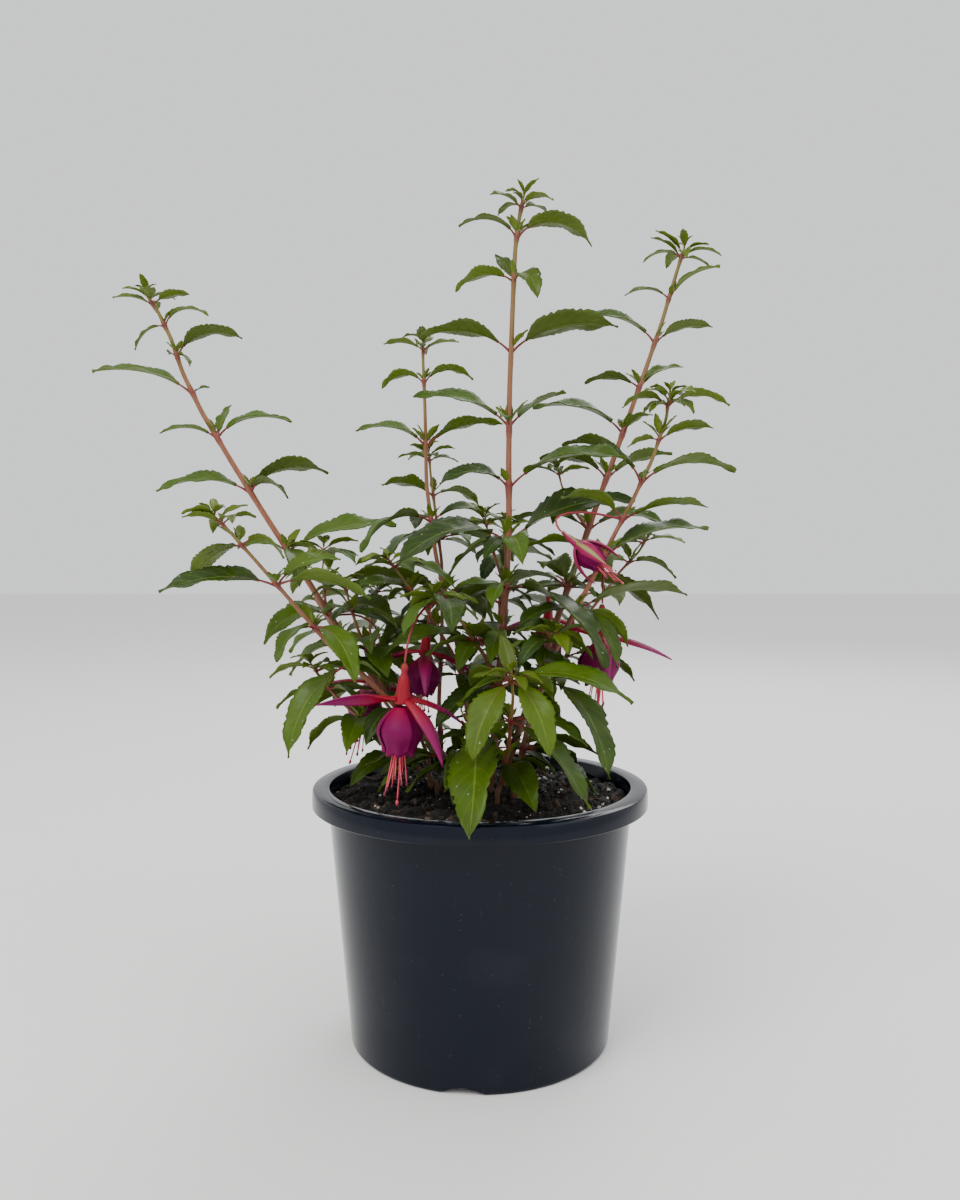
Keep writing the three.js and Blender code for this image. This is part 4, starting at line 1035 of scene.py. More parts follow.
# %% One leaf with its stalk
def bend_leaf(heap, leaf, youth):
    blank = blank_for(leaf)
    row, across, top = blank["points"].T
    chance = leaf["chance"]
    uv = np.stack([PETIOLE_SHARE + (1 - PETIOLE_SHARE) * row, (across + 1) / 2], 1)
    add_to(heap, blank, blade_surface(blank, leaf), uv, rows_of(chance, youth, top, 0))
    shares = np.linspace(0, PETIOLE_SHARE + 0.06, 8)
    at, _, over = blade_frame(leaf, blade_line(leaf), shares)
    radius = min(PETIOLE_RADIUS, 0.4 + leaf["length"] * 0.008)
    points = rod_points(stalk_blank, at - over * 0.2, np.linspace(radius, radius * 0.6, 8))
    uv = np.full((len(points), 2), 0.05)
    add_to(heap, stalk_blank, points, uv, (chance, youth, 1, 0.9 - 0.6 * youth))


# %% [markdown]
# ## Stems
# A fuchsia stem is a thin rod that bends a little and swells at each joint, where its leaves part from it.
# A bevelled curve with a radius at each point could be used, but it would have to become a mesh in the end.
# So a rod blank is laid along the line of the stem, and its radius follows how near a joint is.

# %% The line of a stem, thicker at its joints
stem_blank = rod_blank(90, 10)
chances = np.random.default_rng(1607)
BETWEEN_JOINTS = 0.86
SWELLING = 0.4
JOINT_LENGTH = 2.4


def stem_line(stem):
    points = stem_points(stem)
    through = [points[0]]
    for joint in range(len(stem["joints"])):
        through += [curve_at(points, joint + 0.5), joint_at(stem, joint)[0]]
    places = np.linspace(0, len(through) - 1, 80)
    line = np.array([curve_at(through, place) for place in places])
    shares = places / 2
    if "root" in stem:
        foot = np.array([*stem["root"], SOIL_TOP - ROOTED_DEPTH], float)
        line = np.vstack([foot, (foot + line[0]) / 2, line])
        shares = np.concatenate([[0, 0], shares])
    top = line[-1] + tip_direction(stem) * TIP_LENGTH * 0.55
    line = np.vstack([line, (line[-1] + top) / 2, top])
    return line, np.concatenate([shares, [shares[-1]] * 2])


def grow_wood(heap, stem):
    line, shares = stem_line(stem)
    joints = np.array([joint_at(stem, joint)[0] for joint in range(len(stem["joints"]))])
    away = np.linalg.norm(line[:, None] - joints[None], axis=2).min(1)
    nearness = np.exp(-((away / JOINT_LENGTH) ** 2))
    radii = np.array([stem_radius(stem, share) for share in shares]) * (BETWEEN_JOINTS + SWELLING * nearness)
    radii[-2] *= 0.8
    radii[-1] *= 0.3
    points = rod_points(stem_blank, line, radii)
    along = stem_blank["points"][:, 1]
    place = along * (len(line) - 1)
    first = 0.0 if "root" in stem else 0.45
    up = first + (1 - first) * np.interp(place, np.arange(len(line)), shares) / shares[-1]
    near = np.interp(place, np.arange(len(line)), nearness)
    add_to(heap, stem_blank, points, rows_of(along, near), rows_of(chances.random(), up, near, 0))


# %% [markdown]
# ## More leaves in the thick of the plant
# Low down a fuchsia is so leafy that its stems hardly show. The solids hold the leaves that give the
# outline. More leaves fill the room that is left between them, found with the same test. Balls are too
# coarse for the crowded joints, so each added leaf is also tried as the surface that it will have, and
# stays only if it cuts through no other leaf.

# %% The surfaces of the leaves that stand already
blades = []


def blade_of(leaf):
    blank = blank_for(leaf)
    points = blade_surface(blank, leaf)
    return points.min(0), points.max(0), BVHTree.FromPolygons(points.tolist(), blank["faces"])


def cuts(blade):
    """Whether a blade cuts one that stands. Only those whose boxes meet it are tried."""
    low, high, surface = blade
    near = [other for start, end, other in blades if (low < end).all() and (start < high).all()]
    return any(surface.overlap(other) for other in near)


def stands_clear(leaf):
    blade = blade_of(leaf)
    if cuts(blade):
        return False
    blades.append(blade)
    return True


crossing = 0
for leaves in leaves_of.values():
    for leaf in leaves:
        leaf["chance"] = chances.random()
        blade = blade_of(leaf)
        crossing += cuts(blade)
        blades.append(blade)
print("leaves of the solids", len(blades), "of which cut another", crossing)

# %% Leaves between the leaves: around each low joint, the longest that fits is kept
OPEN_ABOVE = 300
CLEAR_OF_MIX = 22
FILL_TURNS = 9
FILL_SIZES = [54, 44, 34, 25]
FILL_RISE = 26
FILL_DROOP = 70
FILL_PLAY = 1.6
FILL_ROOM = 2
FILL_REACH = 84
filled = 0
for stem in STEMS:
    for joint in range(len(stem["joints"])):
        height = joint_at(stem, joint)[0][2]
        if height > OPEN_ABOVE or height < SOIL_TOP + CLEAR_OF_MIX:
            continue
        for k in range(FILL_TURNS):
            azimuth = stem["turn"] + 360 // FILL_TURNS * k + 30
            for length in FILL_SIZES:
                leaf = leaf_at(stem, joint, azimuth, length, FILL_RISE, FILL_DROOP, FILL_PLAY)
                leaf |= {"chance": chances.random(), "filler": True}
                at, shares = blade_balls(leaf, leaf_half_width(leaf), leaf_outline, LEAF_FOLD)
                room = gather(at, FILL_ROOM, owner_of(stem), shares)
                if np.hypot(*at[-1, :2]) < FILL_REACH and is_clear(room) and stands_clear(leaf):
                    taken.append(room)
                    leaves_of[stem["name"]].append(leaf)
                    filled += 1
                    break
print("more leaves", filled)


# %% [markdown]
# ## Young leaves
# The tip of a shoot is a tuft of pairs, each smaller and steeper than the one below, and a pair of tiny
# leaves sits beside most leaf stalks. They could be scattered over the stem as particles, but those have
# no way to keep clear of each other. So each is placed like a large leaf, and swung, raised or shortened
# until nothing is in its way.

# %% One young leaf, and the tries that find its room. Tip pairs: how far up in mm, length and rise
TIP_PAIRS = [(1, 24, 44), (3, 20, 58), (6, 15, 70), (8, 9, 82)]
LOW_TIP_PAIRS = [(2, 27, 32), (4, 21, 50), (6, 13, 68)]
NO_AXIL = 0.25
YOUNG_ROOM = 1.2
YOUNG_TRIES = [(0, 0, 1), (20, 6, 1), (-20, -8, 0.9), (35, 10, 0.8), (-35, 0, 0.8), (10, 16, 0.65)]
grown = []


def young_leaf(root, azimuth, length, rise, droop):
    leaf = {"root": root, "azimuth": azimuth, "length": length, "rise": rise, "droop": droop}
    leaf |= {"sway": 0, "roll": chances.uniform(-25, 25), "breadth": chances.uniform(0.9, 1.15)}
    return leaf | {"chance": chances.random(), "young": True}


def finds_room(leaf, owner):
    """The balls keep it off other stems and the flowers, and its surface keeps it off every leaf."""
    at, shares = blade_balls(leaf, leaf_half_width(leaf), leaf_outline, LEAF_FOLD)
    room = gather(at, YOUNG_ROOM, owner, shares * 0)
    if not is_clear(room) or not stands_clear(leaf):
        return False
    taken.append(room)
    return True


def grow_young(heap, leaf, owner, youth):
    for swing, lift, size in YOUNG_TRIES:
        turned = {"azimuth": leaf["azimuth"] + swing, "rise": leaf["rise"] + lift}
        tried = leaf | turned | {"length": leaf["length"] * size}
        if finds_room(tried, owner):
            bend_leaf(heap, tried, youth)
            return 1
    return 0


# %% Tufts at the tips and pairs in the joints
def grow_tip(heap, stem):
    middle, along, _ = joint_at(stem, len(stem["joints"]) - 1)
    pairs = LOW_TIP_PAIRS if middle[2] < OPEN_ABOVE else TIP_PAIRS
    for pair, (up, length, rise) in enumerate(pairs):
        for azimuth in (0, 180):
            turn = stem["turn"] + 90 * (pair + 1) + azimuth + chances.uniform(-15, 15)
            size = length * chances.uniform(0.85, 1.15)
            leaf = young_leaf(middle + along * up, turn, size, rise, chances.uniform(50, 105))
            grown.append(grow_young(heap, leaf, owner_of(stem), 0.55 + 0.13 * pair))


def grow_axils(heap, stem, leaves):
    for leaf in leaves:
        if leaf["joint"] == len(stem["joints"]) - 1 or chances.random() < NO_AXIL:
            continue
        middle, along, _ = joint_at(stem, leaf["joint"])
        root = middle * 0.7 + leaf["root"] * 0.3 + along * 1.5
        for swing in (-38, 38):
            size = chances.uniform(7, 17)
            small = young_leaf(root, leaf["azimuth"] + swing, size, chances.uniform(55, 78), 30)
            grown.append(grow_young(heap, small, owner_of(stem), 0.8))


# %% [markdown]
# ## The pieces of each stem
# Each solid of the frame holds one stem with its side shoots and leaves. Here it becomes two pieces, as it
# has two finishes: the wood, with the stalks of its flowers, and the leaves. Each stalk could be a piece,
# but it grows out of the wood without a seam, so it goes in the same mesh.

# %% The stalks that hang from each stem
stalks = {}
for bloom in BLOOMS:
    stalks.setdefault(bloom["stem"], []).append(bloom_stalk(bloom))
for bud in BUDS:
    stalks.setdefault(bud[0], []).append(bud_stalk(bud))
print("stalks", sum(len(lines) for lines in stalks.values()))


# %% One stalk, thinner towards its flower, in the red that the tint's fourth share stands for
def grow_stalk(heap, line):
    smooth = np.array([curve_at(list(line), place) for place in np.linspace(0, len(line) - 1, 24)])
    points = rod_points(thin_blank, smooth, np.linspace(STALK_RADIUS, STALK_RADIUS * 0.75, 24))
    add_to(heap, thin_blank, points, np.zeros((len(points), 2)), (0.5, 0.6, 0.3, 0.8))


# %% Wood and leaves of every solid: leaves high on a stem are younger, and short ones most
def youth_of(leaf, stem):
    if "filler" in leaf:
        return 0
    height = leaf["joint"] / (len(stem["joints"]) - 1)
    return 0.05 + 0.6 * max(0, height - 0.6) / 0.4 * np.clip((66 - leaf["length"]) / 30, 0, 1)


for owner in dict.fromkeys(owner_of(stem) for stem in STEMS):
    wood, foliage = new_heap(), new_heap()
    for stem in STEMS:
        if owner_of(stem) != owner:
            continue
        grow_wood(wood, stem)
        for line in stalks.get(stem["name"], []):
            grow_stalk(wood, line)
        for leaf in leaves_of[stem["name"]]:
            bend_leaf(foliage, leaf, youth_of(leaf, stem) * chances.uniform(0.6, 1))
        grow_tip(foliage, stem)
        grow_axils(foliage, stem, leaves_of[stem["name"]])
    piece_from(wood, owner + "_wood", bark_material, "foliage", owner)
    piece_from(foliage, owner + "_leaves", leaf_material, "foliage", owner)
    print(owner, "wood", len(wood["faces"]), "leaves", len(foliage["faces"]), "faces")
print("small leaves", sum(grown), "of", len(grown))

# %% [markdown]
# ## The finishes of a flower
# Sepals are thick and waxy, so they are satin, glow a little from inside, and shade from red to magenta
# at their tips. While they open, a pale green ridge runs down the magenta. Petals are velvety: tiny cones
# on their skin trap the light, which leaves a deep purple with hardly a shine. Filaments are coral and
# smooth, with dusty plum ends. The fine ribs could be an image, but a wave along the UV map follows the
# petal just as well and stays sharp. The IOR of such skins is about 1.4. It is matched down to 1.36 for
# the sepals and 1.22 for the petals, since a mirrored sky would wash their colours out.

# %% Waxy red sepals with ribs 0.8 mm apart, magenta towards their tips
sepal_material, tree, shader = new_material("waxy_red_sepal", Roughness=0.4, IOR=1.36)
_, height, _, unripe = tint_of(tree)
flat = add(tree, "UVMap", uv_map="UVMap").outputs[0]
stripes = {"Vector": flat, "Scale": bands(2 * SEPAL_HALF_WIDTH, 0.8), "Distortion": 1.5, "Detail": 2}
ribs = add(tree, "TexWave", stripes, bands_direction="Y")
red = add(tree, "Mix", {0: ribs.outputs[1], 6: "#820018", 7: "#960022"}, **COLOURS).outputs[2]
share = add(tree, "MapRange", {0: height, 1: 0.1, 2: 0.75}, **EASED).outputs[0]
red = add(tree, "Mix", {0: share, 6: red, 7: "#7c0050"}, **COLOURS).outputs[2]
share = add(tree, "MapRange", {0: height, 1: -0.36, 2: -0.5}, **EASED).outputs[0]
red = add(tree, "Mix", {0: share, 6: red, 7: "#8a3028"}, **COLOURS).outputs[2]

# %% Opening sepals: a pale green ridge with magenta sides
beside = add(tree, "SeparateXYZ", {0: flat}).outputs[1]
beside = add(tree, "Math", {0: beside, 1: 0.5}, operation="SUBTRACT").outputs[0]
beside = add(tree, "Math", {0: beside}, operation="ABSOLUTE").outputs[0]
share = add(tree, "MapRange", {0: beside, 1: 0.04, 2: 0.22}, **EASED).outputs[0]
opening = add(tree, "Mix", {0: share, 6: "#8f8c52", 7: "#8a0c46"}, **COLOURS).outputs[2]
red = add(tree, "Mix", {0: unripe, 6: red, 7: opening}, **COLOURS).outputs[2]
bump = add(tree, "Bump", {"Strength": 0.25, "Distance": 0.0004, "Height": ribs.outputs[1]}).outputs[0]
feed(shader, Base_Color=red, Normal=bump)
shader.inputs["Subsurface Weight"].default_value = 0.1
shader.inputs["Subsurface Radius"].default_value = (0.002, 0.0006, 0.0006)
print("sepal finish", len(tree.nodes), "nodes")

# %% Purple petals, pinker at their root: veins are about 0.5 mm apart, drawn at 1.6 mm so that they show
PETAL_WIDTH = 25
petal_material, tree, shader = new_material("velvety_purple_petal", Roughness=0.5, IOR=1.22)
height = tint_of(tree)[1]
flat = add(tree, "UVMap", uv_map="UVMap").outputs[0]
stripes = {"Vector": flat, "Scale": bands(PETAL_WIDTH, 1.6), "Distortion": 3.0, "Detail": 2}
ribs = add(tree, "TexWave", stripes, bands_direction="Y")
purple = add(tree, "Mix", {0: ribs.outputs[1], 6: "#680040", 7: "#6c0044"}, **COLOURS).outputs[2]
share = add(tree, "MapRange", {0: height, 1: 0.4, 2: 0.0}, **EASED).outputs[0]
purple = add(tree, "Mix", {0: share, 6: purple, 7: "#860036"}, **COLOURS).outputs[2]
bump = add(tree, "Bump", {"Strength": 0.03, "Distance": 0.0002, "Height": ribs.outputs[1]}).outputs[0]
feed(shader, Base_Color=purple, Normal=bump)
print("petal finish", len(tree.nodes), "nodes")

# %% Coral filaments with dusty plum ends, with grains of pollen 0.4 mm across
stamen_material, tree, shader = new_material("coral_filament", Roughness=0.45, IOR=1.4)
_, height, knob, _ = tint_of(tree)
pink = add(tree, "Mix", {0: height, 6: "#c81840", 7: "#e4566c"}, **COLOURS).outputs[2]
pink = add(tree, "Mix", {0: knob, 6: pink, 7: "#6e2836"}, **COLOURS).outputs[2]
where = add(tree, "TexCoord").outputs["Object"]
grains = add(tree, "TexNoise", {"Vector": where, "Scale": per(0.4)}).outputs[0]
bump = add(tree, "Bump", {"Strength": 0.3, "Distance": 0.0002, "Height": grains}).outputs[0]
feed(shader, Base_Color=pink, Normal=bump)
print("filament finish", len(tree.nodes), "nodes")

# %% [markdown]
# ## Tube and sepals
# A fuchsia flower hangs mouth down. A small swollen ovary leads into a red waxy tube, which ends in four
# spread sepals. A spin would give the tube as well. A rod blank with a swelling radius has the same shape
# and is there already, and each flower's lean and size set it in place. The sepals are sheets along the
# same middle lines as their solids.

# %% Tube and sepals, with the tube as height and radius
TUBE = [
    [22, 0.9], [21.2, 1.6], [19.5, 2.1], [17.8, 1.8], [16.6, 1.6], [15, 2.3], [12.5, 3.1], [9, 3.5], [5, 3.8],
    [1.5, 4.2], [0, 4.3],
]
OPENING = {"bloom_opening"}
tube_blank = rod_blank(22, 18)


def grow_sepals(bloom):
    heap = new_heap()
    place = bloom_place(bloom)
    heights = np.linspace(OVARY_TOP, 0, 30)
    radii = np.interp(heights, *np.array(TUBE[::-1], float).T)
    points = place(rod_points(tube_blank, rows_of(0, 0, heights), radii))
    along = tube_blank["points"][:, 1]
    chance = chances.random()
    unripe = float(bloom["name"] in OPENING)
    uv = rows_of(along * 0.3, tube_blank["points"][:, 0] / 6.28)
    add_to(heap, tube_blank, points, uv, rows_of(chance, -0.5 * (1 - along), 1, unripe))
    row, across, top = sepal_blank["points"].T
    for sepal in sepal_blades(bloom):
        width = SEPAL_HALF_WIDTH * np.maximum(sepal_outline(row), 0.03) * (1 + 0.5 * unripe)
        at, side, over = blade_frame(sepal, blade_line(sepal), row)
        edge = np.abs(across)
        lift = -width * 0.3 * edge**2 + (1 - edge**2) * np.sqrt(np.maximum(1 - row, 0)) * 0.5
        thick = 0.35 + 0.55 * (1 - edge**2) * (1 - row)
        height = lift + np.where(top > 0.5, thick, -thick)
        points = place(at + side * (across * width)[:, None] + over * height[:, None])
        uv = rows_of(row, across * 0.5 + 0.5)
        add_to(heap, sepal_blank, points, uv, rows_of(chance, row, top, unripe))
    name = bloom["name"] + "_sepals"
    piece_from(heap, name + "_waxy", sepal_material, "sepals", name)


# %% [markdown]
# ## Corolla
# Four petals are rolled round each other into a skirt that swells, narrows and flares at its hem. One
# spun skirt would show no edges. So each petal is a sheet wrapped a third of the way round, and climbs
# from one edge to the other, which lays that edge over its neighbour.

# %% Petals: the skirt as depth below the mouth and radius
SKIRT = [
    [0, 3.4], [2.2, 4.2], [5, 7.2], [9, 10.4], [13, 12.2], [16.5, 12.1], [20, 10.4], [23, 8.8], [26, 8],
    [30, 8.4],
]
PETAL_SPAN = 60
PETAL_CLIMB = 1.7
PETAL_TOP = 1.6
HEM = 27.5
HALF_PETAL = 0.22


def grow_petals(bloom):
    heap = new_heap()
    place = bloom_place(bloom)
    row, across, top = petal_blank["points"].T
    for k in range(4):
        chance = chances.random()
        turn = np.radians(bloom["turn"] + 90 * k + 45 + across * PETAL_SPAN)
        hem = HEM - 2.4 * across**2 + 0.9 * np.sin(7 * across + 5 * chance)
        depth = PETAL_TOP + (hem - PETAL_TOP) * row
        radius = np.interp(depth, *np.array(SKIRT, float).T)
        radius = radius + PETAL_CLIMB * 0.5 * across * np.minimum(1, 2.5 * row)
        radius += 0.8 * row**4 * np.sin(9 * across + 6 * chance)
        radius += np.where(top > 0.5, HALF_PETAL, -HALF_PETAL)
        points = place(np.stack([radius * np.cos(turn), radius * np.sin(turn), -depth], 1))
        add_to(heap, petal_blank, points, rows_of(row, across * 0.5 + 0.5), rows_of(chance, row, top, 0))
    name = bloom["name"] + "_petals"
    piece_from(heap, name + "_rolled", petal_material, "petals", name)


# %% [markdown]
# ## Stamens and style
# Eight stamens and one longer style hang from the mouth like a brush. Each is a thin rod that spreads
# outwards and sways a little, with a knob at its end. Hair curves would be easier to comb, but they leave
# no mesh behind, so the rods are copies of the thin blank.

# %% The knob at the end of a filament
STAMENS = 8
FIRST_DEPTH = 3
STYLE_LENGTH = 54
nothing_selected()
bpy.ops.mesh.primitive_ico_sphere_add(subdivisions=2, radius=1)
bpy.context.object.scale = (0.8, 0.8, 1.5)
bpy.ops.object.transform_apply(location=False, rotation=False, scale=True)
anther_blank = take_blank(bpy.context.object)
print("knob", len(anther_blank["faces"]), "faces")


# %% Filaments, with a small disc in the tube that holds them
def grow_stamens(bloom):
    heap = new_heap()
    place = bloom_place(bloom)
    for k in range(STAMENS + 1):
        is_style = k == STAMENS
        turn = math.radians(360 / STAMENS * k + chances.uniform(-12, 12))
        spread = chances.uniform(0, 1.5) if is_style else chances.uniform(3.5, 7)
        length = STYLE_LENGTH if is_style else chances.uniform(38, 50)
        bend = chances.uniform(-1.6, 1.6)
        t = np.linspace(0, 1, 12)
        out = 1.2 + (spread - 1.2) * t**1.4
        swing = bend * np.sin(np.pi * t)
        x = out * math.cos(turn) - swing * math.sin(turn)
        y = out * math.sin(turn) + swing * math.cos(turn)
        line = rows_of(x, y, -FIRST_DEPTH - (length - FIRST_DEPTH) * t)
        radii = np.linspace(0.55, 0.36, 12) * (1.25 if is_style else 1)
        along = thin_blank["points"][:, 1]
        points = place(rod_points(thin_blank, line, radii))
        add_to(heap, thin_blank, points, rows_of(along, along), rows_of(0.5, along, 0, 0))
        points = place(anther_blank["points"] * (1.15 if is_style else 0.9) + line[-1])
        add_to(heap, anther_blank, points, np.zeros((len(points), 2)), (0.5, 1, 0.2 if is_style else 1, 0))
    disc = np.array([[0, 0, -2.6], [0, 0, -3.9]])
    points = place(rod_points(stalk_blank, disc, [2, 2]))
    add_to(heap, stalk_blank, points, np.zeros((len(points), 2)), (0.5, 0, 0, 0))
    name = bloom["name"] + "_stamens"
    piece_from(heap, name + "_brush", stamen_material, "stamens", name)


# %% Every flower in its three colours
for bloom in BLOOMS:
    grow_sepals(bloom)
    grow_petals(bloom)
    grow_stamens(bloom)
    print(bloom["name"], "size", bloom["size"])

# %% [markdown]
# ## Closed buds
# A closed bud is the tube and the folded sepals as one pointed drop, with a waist below the ovary. It is
# the same rod blank as the tube, with the drop's radius, so it shares the finish of the sepals.

# %% Buds, as depth below the stalk and radius
BUD_SHAPE = [
    [0, 0.9], [1.2, 1.5], [3, 1.9], [5, 1.6], [6.2, 1.5], [8, 2.2], [11, 3], [14, 3.5], [16.5, 3.1],
    [18.8, 1.6], [20, 0.3],
]
for number, bud in enumerate(BUDS, 1):
    heap = new_heap()
    depths = np.linspace(0, BUD_LENGTH, 30)
    line = bud_stalk(bud)[-1] - rows_of(0, 0, depths + STALK_GAP)
    points = rod_points(tube_blank, line, np.interp(depths, *np.array(BUD_SHAPE, float).T))
    along = tube_blank["points"][:, 1]
    uv = rows_of(along, tube_blank["points"][:, 0] / 6.28)
    add_to(heap, tube_blank, points, uv, rows_of(0.5, along - 0.5, 1, 0))
    piece_from(heap, f"bud_{number}_closed", sepal_material, "bud", f"bud_{number}")
    print("bud", number, "on", bud[0])

# %% [markdown]
# ## The pot
# The real pot is injection moulded in polypropylene: a thin wall with draft, so that pots stack and leave
# the mould, a turned-over rim that stiffens the mouth, and arched notches under the base that let water
# out. It is modelled the way it is shaped, as one disc that is extruded and resized ring by ring, out and
# up the wall, over the rim and down the inside. The notches are cut with a Boolean modifier, as the mould
# steels would leave them.

# %% Rings of the pot, as radius and height
BAND_FOOT = POT_HEIGHT - RIM_BAND
FLANGE = POT_HEIGHT - WALL
POT_SIDES = 128
POT_RINGS = [
    (BASE_RADIUS - 0.8, 0.35),
    (BASE_RADIUS - 0.2, 1.1),
    (BASE_RADIUS, BASE_ROUND),
    (NECK_RADIUS, BAND_FOOT),
    (NECK_RADIUS + 0.7, FLANGE - 0.6),
    (NECK_RADIUS + 1.3, FLANGE),
    (RIM_RADIUS - WALL - 0.9, FLANGE),
    (RIM_RADIUS - WALL - 0.3, FLANGE - 0.6),
    (RIM_RADIUS - WALL, BAND_FOOT + 0.3),
    (RIM_RADIUS - WALL + 0.3, BAND_FOOT),
    (RIM_RADIUS - 0.3, BAND_FOOT),
    (RIM_RADIUS, BAND_FOOT + 0.3),
    (RIM_RADIUS - 0.2, POT_HEIGHT - RIM_ROUND),
    (RIM_RADIUS - 0.7, POT_HEIGHT - 0.5),
    (RIM_RADIUS - RIM_ROUND, POT_HEIGHT),
    (RIM_RADIUS - RIM_WIDTH + 0.6, POT_HEIGHT),
    (RIM_RADIUS - RIM_WIDTH + 0.15, POT_HEIGHT - 0.15),
    (RIM_RADIUS - RIM_WIDTH, POT_HEIGHT - 0.6),
    (BASE_RADIUS - WALL, FLOOR + BASE_ROUND),
    (BASE_RADIUS - WALL - 0.7, FLOOR + 0.6),
    (BASE_RADIUS - WALL - BASE_ROUND, FLOOR),
]

nothing_selected()
ring_radius, ring_height = BASE_RADIUS - BASE_ROUND, 0
bpy.ops.mesh.primitive_circle_add(vertices=POT_SIDES, radius=ring_radius * MM, fill_type="NGON")
pot = bpy.context.object
pot.name = pot.data.name = "nursery_pot"
bpy.ops.object.mode_set(mode="EDIT")
bpy.ops.mesh.select_all(action="SELECT")
for radius, height in POT_RINGS:
    rise = (height - ring_height) * MM
    bpy.ops.mesh.extrude_region_move(TRANSFORM_OT_translate={"value": (0, 0, rise)})
    share = radius / ring_radius
    bpy.ops.transform.resize(value=(share, share, 1), center_override=(0, 0, height * MM))
    ring_radius, ring_height = radius, height
bpy.ops.mesh.select_all(action="SELECT")
bpy.ops.mesh.normals_make_consistent(inside=False)
bpy.ops.object.mode_set(mode="OBJECT")
print("pot", len(pot.data.polygons), "faces")

# %% Arched notches under the base
arch_radius = (NOTCH_WIDTH**2 / 4 + NOTCH_HEIGHT**2) / (2 * NOTCH_HEIGHT)
for k in range(NOTCH_COUNT):
    turn = math.radians(FIRST_NOTCH + 360 * k / NOTCH_COUNT)
    middle = (BASE_RADIUS * math.cos(turn), BASE_RADIUS * math.sin(turn), NOTCH_HEIGHT - arch_radius)
    nothing_selected()
    bpy.ops.mesh.primitive_cylinder_add(
        vertices=96,
        radius=arch_radius * MM,
        depth=2 * NOTCH_DEPTH * MM,
        location=Vector(middle) * MM,
        rotation=(0, math.pi / 2, turn),
    )
    cutter = bpy.context.object
    cut = pot.modifiers.new("notch", "BOOLEAN")
    cut.object = cutter
    cut.operation = "DIFFERENCE"
    cut.solver = "EXACT"
    apply_modifiers(pot)
    bpy.data.objects.remove(cutter)
nothing_selected()
pot.select_set(True)
bpy.context.view_layer.objects.active = pot
bpy.ops.object.shade_smooth_by_angle(angle=math.radians(35))
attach(pot, "root")
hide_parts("pot")
print("notched pot", len(pot.data.polygons), "faces")

# %% [markdown]
# ## The finish of the pot
# Moulded polypropylene is glossy but never perfect. This one is almost black with a blue cast. Dust lies
# on it in faint patches, water has left pale dried specks, and the skin has a slight orange-peel wave from
# the mould. A clean gloss would be simpler, but it is the faint dirt that shows where the wall is. The
# plastic has an IOR of about 1.49. It is matched down to 1.3, so that the wall mirrors less of the pale
# sky and stays as dark as the real one.

# %% Dust in patches 45 mm across, dried specks in 3.3 mm cells, and scuffs along the draw of the mould
pot_material, tree, shader = new_material("moulded_polypropylene", IOR=1.3)
where = add(tree, "TexCoord").outputs["Object"]
dust = add(tree, "TexNoise", {"Vector": where, "Scale": per(45), "Detail": 6}).outputs[0]
dust = add(tree, "MapRange", {0: dust, 1: 0.5, 2: 0.8, 3: 0, 4: 0.02}, **EASED).outputs[0]
specks = add(tree, "TexVoronoi", {"Vector": where, "Scale": per(3.3)})
is_speck = add(tree, "MapRange", {0: specks.outputs[0], 1: 0.06, 2: 0.12, 3: 1, 4: 0}, **EASED).outputs[0]
parts = add(tree, "SeparateColor", {0: specks.outputs["Color"]}).outputs
some = add(tree, "MapRange", {0: parts[0], 1: 0.8, 2: 0.9}, **EASED).outputs[0]
is_speck = add(tree, "Math", {0: is_speck, 1: some}, operation="MULTIPLY").outputs[0]
is_speck = add(tree, "Math", {0: is_speck, 1: 0.15}, operation="MULTIPLY").outputs[0]
long = add(tree, "Mapping", {0: where, "Scale": (1, 1, 0.25)}).outputs[0]
scuffs = add(tree, "TexNoise", {"Vector": long, "Scale": per(4), "Detail": 4}).outputs[0]
scuffs = add(tree, "MapRange", {0: scuffs, 1: 0.66, 2: 0.9, 3: 0, 4: 0.08}, **EASED).outputs[0]
dirt = add(tree, "Math", {0: dust, 1: is_speck}, operation="MAXIMUM").outputs[0]
dirt = add(tree, "Math", {0: dirt, 1: scuffs}, operation="MAXIMUM").outputs[0]

# %% Moulded polypropylene: orange peel is about 2 mm across, drawn at 5.5 mm so that it shows
black = add(tree, "Mix", {0: dirt, 6: "#030a18", 7: "#8a8d90"}, **COLOURS).outputs[2]
rough = add(tree, "MapRange", {0: dirt, 1: 0, 2: 0.2, 3: 0.14, 4: 0.5}, **EASED).outputs[0]
peel = add(tree, "TexNoise", {"Vector": where, "Scale": per(5.5), "Detail": 1}).outputs[0]
bump = add(tree, "Bump", {"Strength": 0.12, "Distance": 0.0004, "Height": peel}).outputs[0]
feed(shader, Base_Color=black, Roughness=rough, Normal=bump)
pot.data.materials.append(pot_material)
print("pot finish", len(tree.nodes), "nodes")

# %% [markdown]
# ## The potting mix
# Peat is poured in and watered down, so it lies in soft lumps with crumbs on top. A displaced disc would
# have long thin faces near its middle. So the bed starts as a square grid that is drawn into a disc,
# raised by the same wave as its solid and by finer noise, and extruded down to the floor of the pot.

# %% Bed of the mix: how wide it is at a height, and how high at a place
WALL_SLOPE = (RIM_RADIUS - RIM_WIDTH - BASE_RADIUS + WALL) / (POT_HEIGHT - FLOOR)
BED_CLEARANCE = 0.85
BED_CELLS = 120


def inner_radius(height):
    return BASE_RADIUS - WALL + WALL_SLOPE * (height - FLOOR - BASE_ROUND) - BED_CLEARANCE


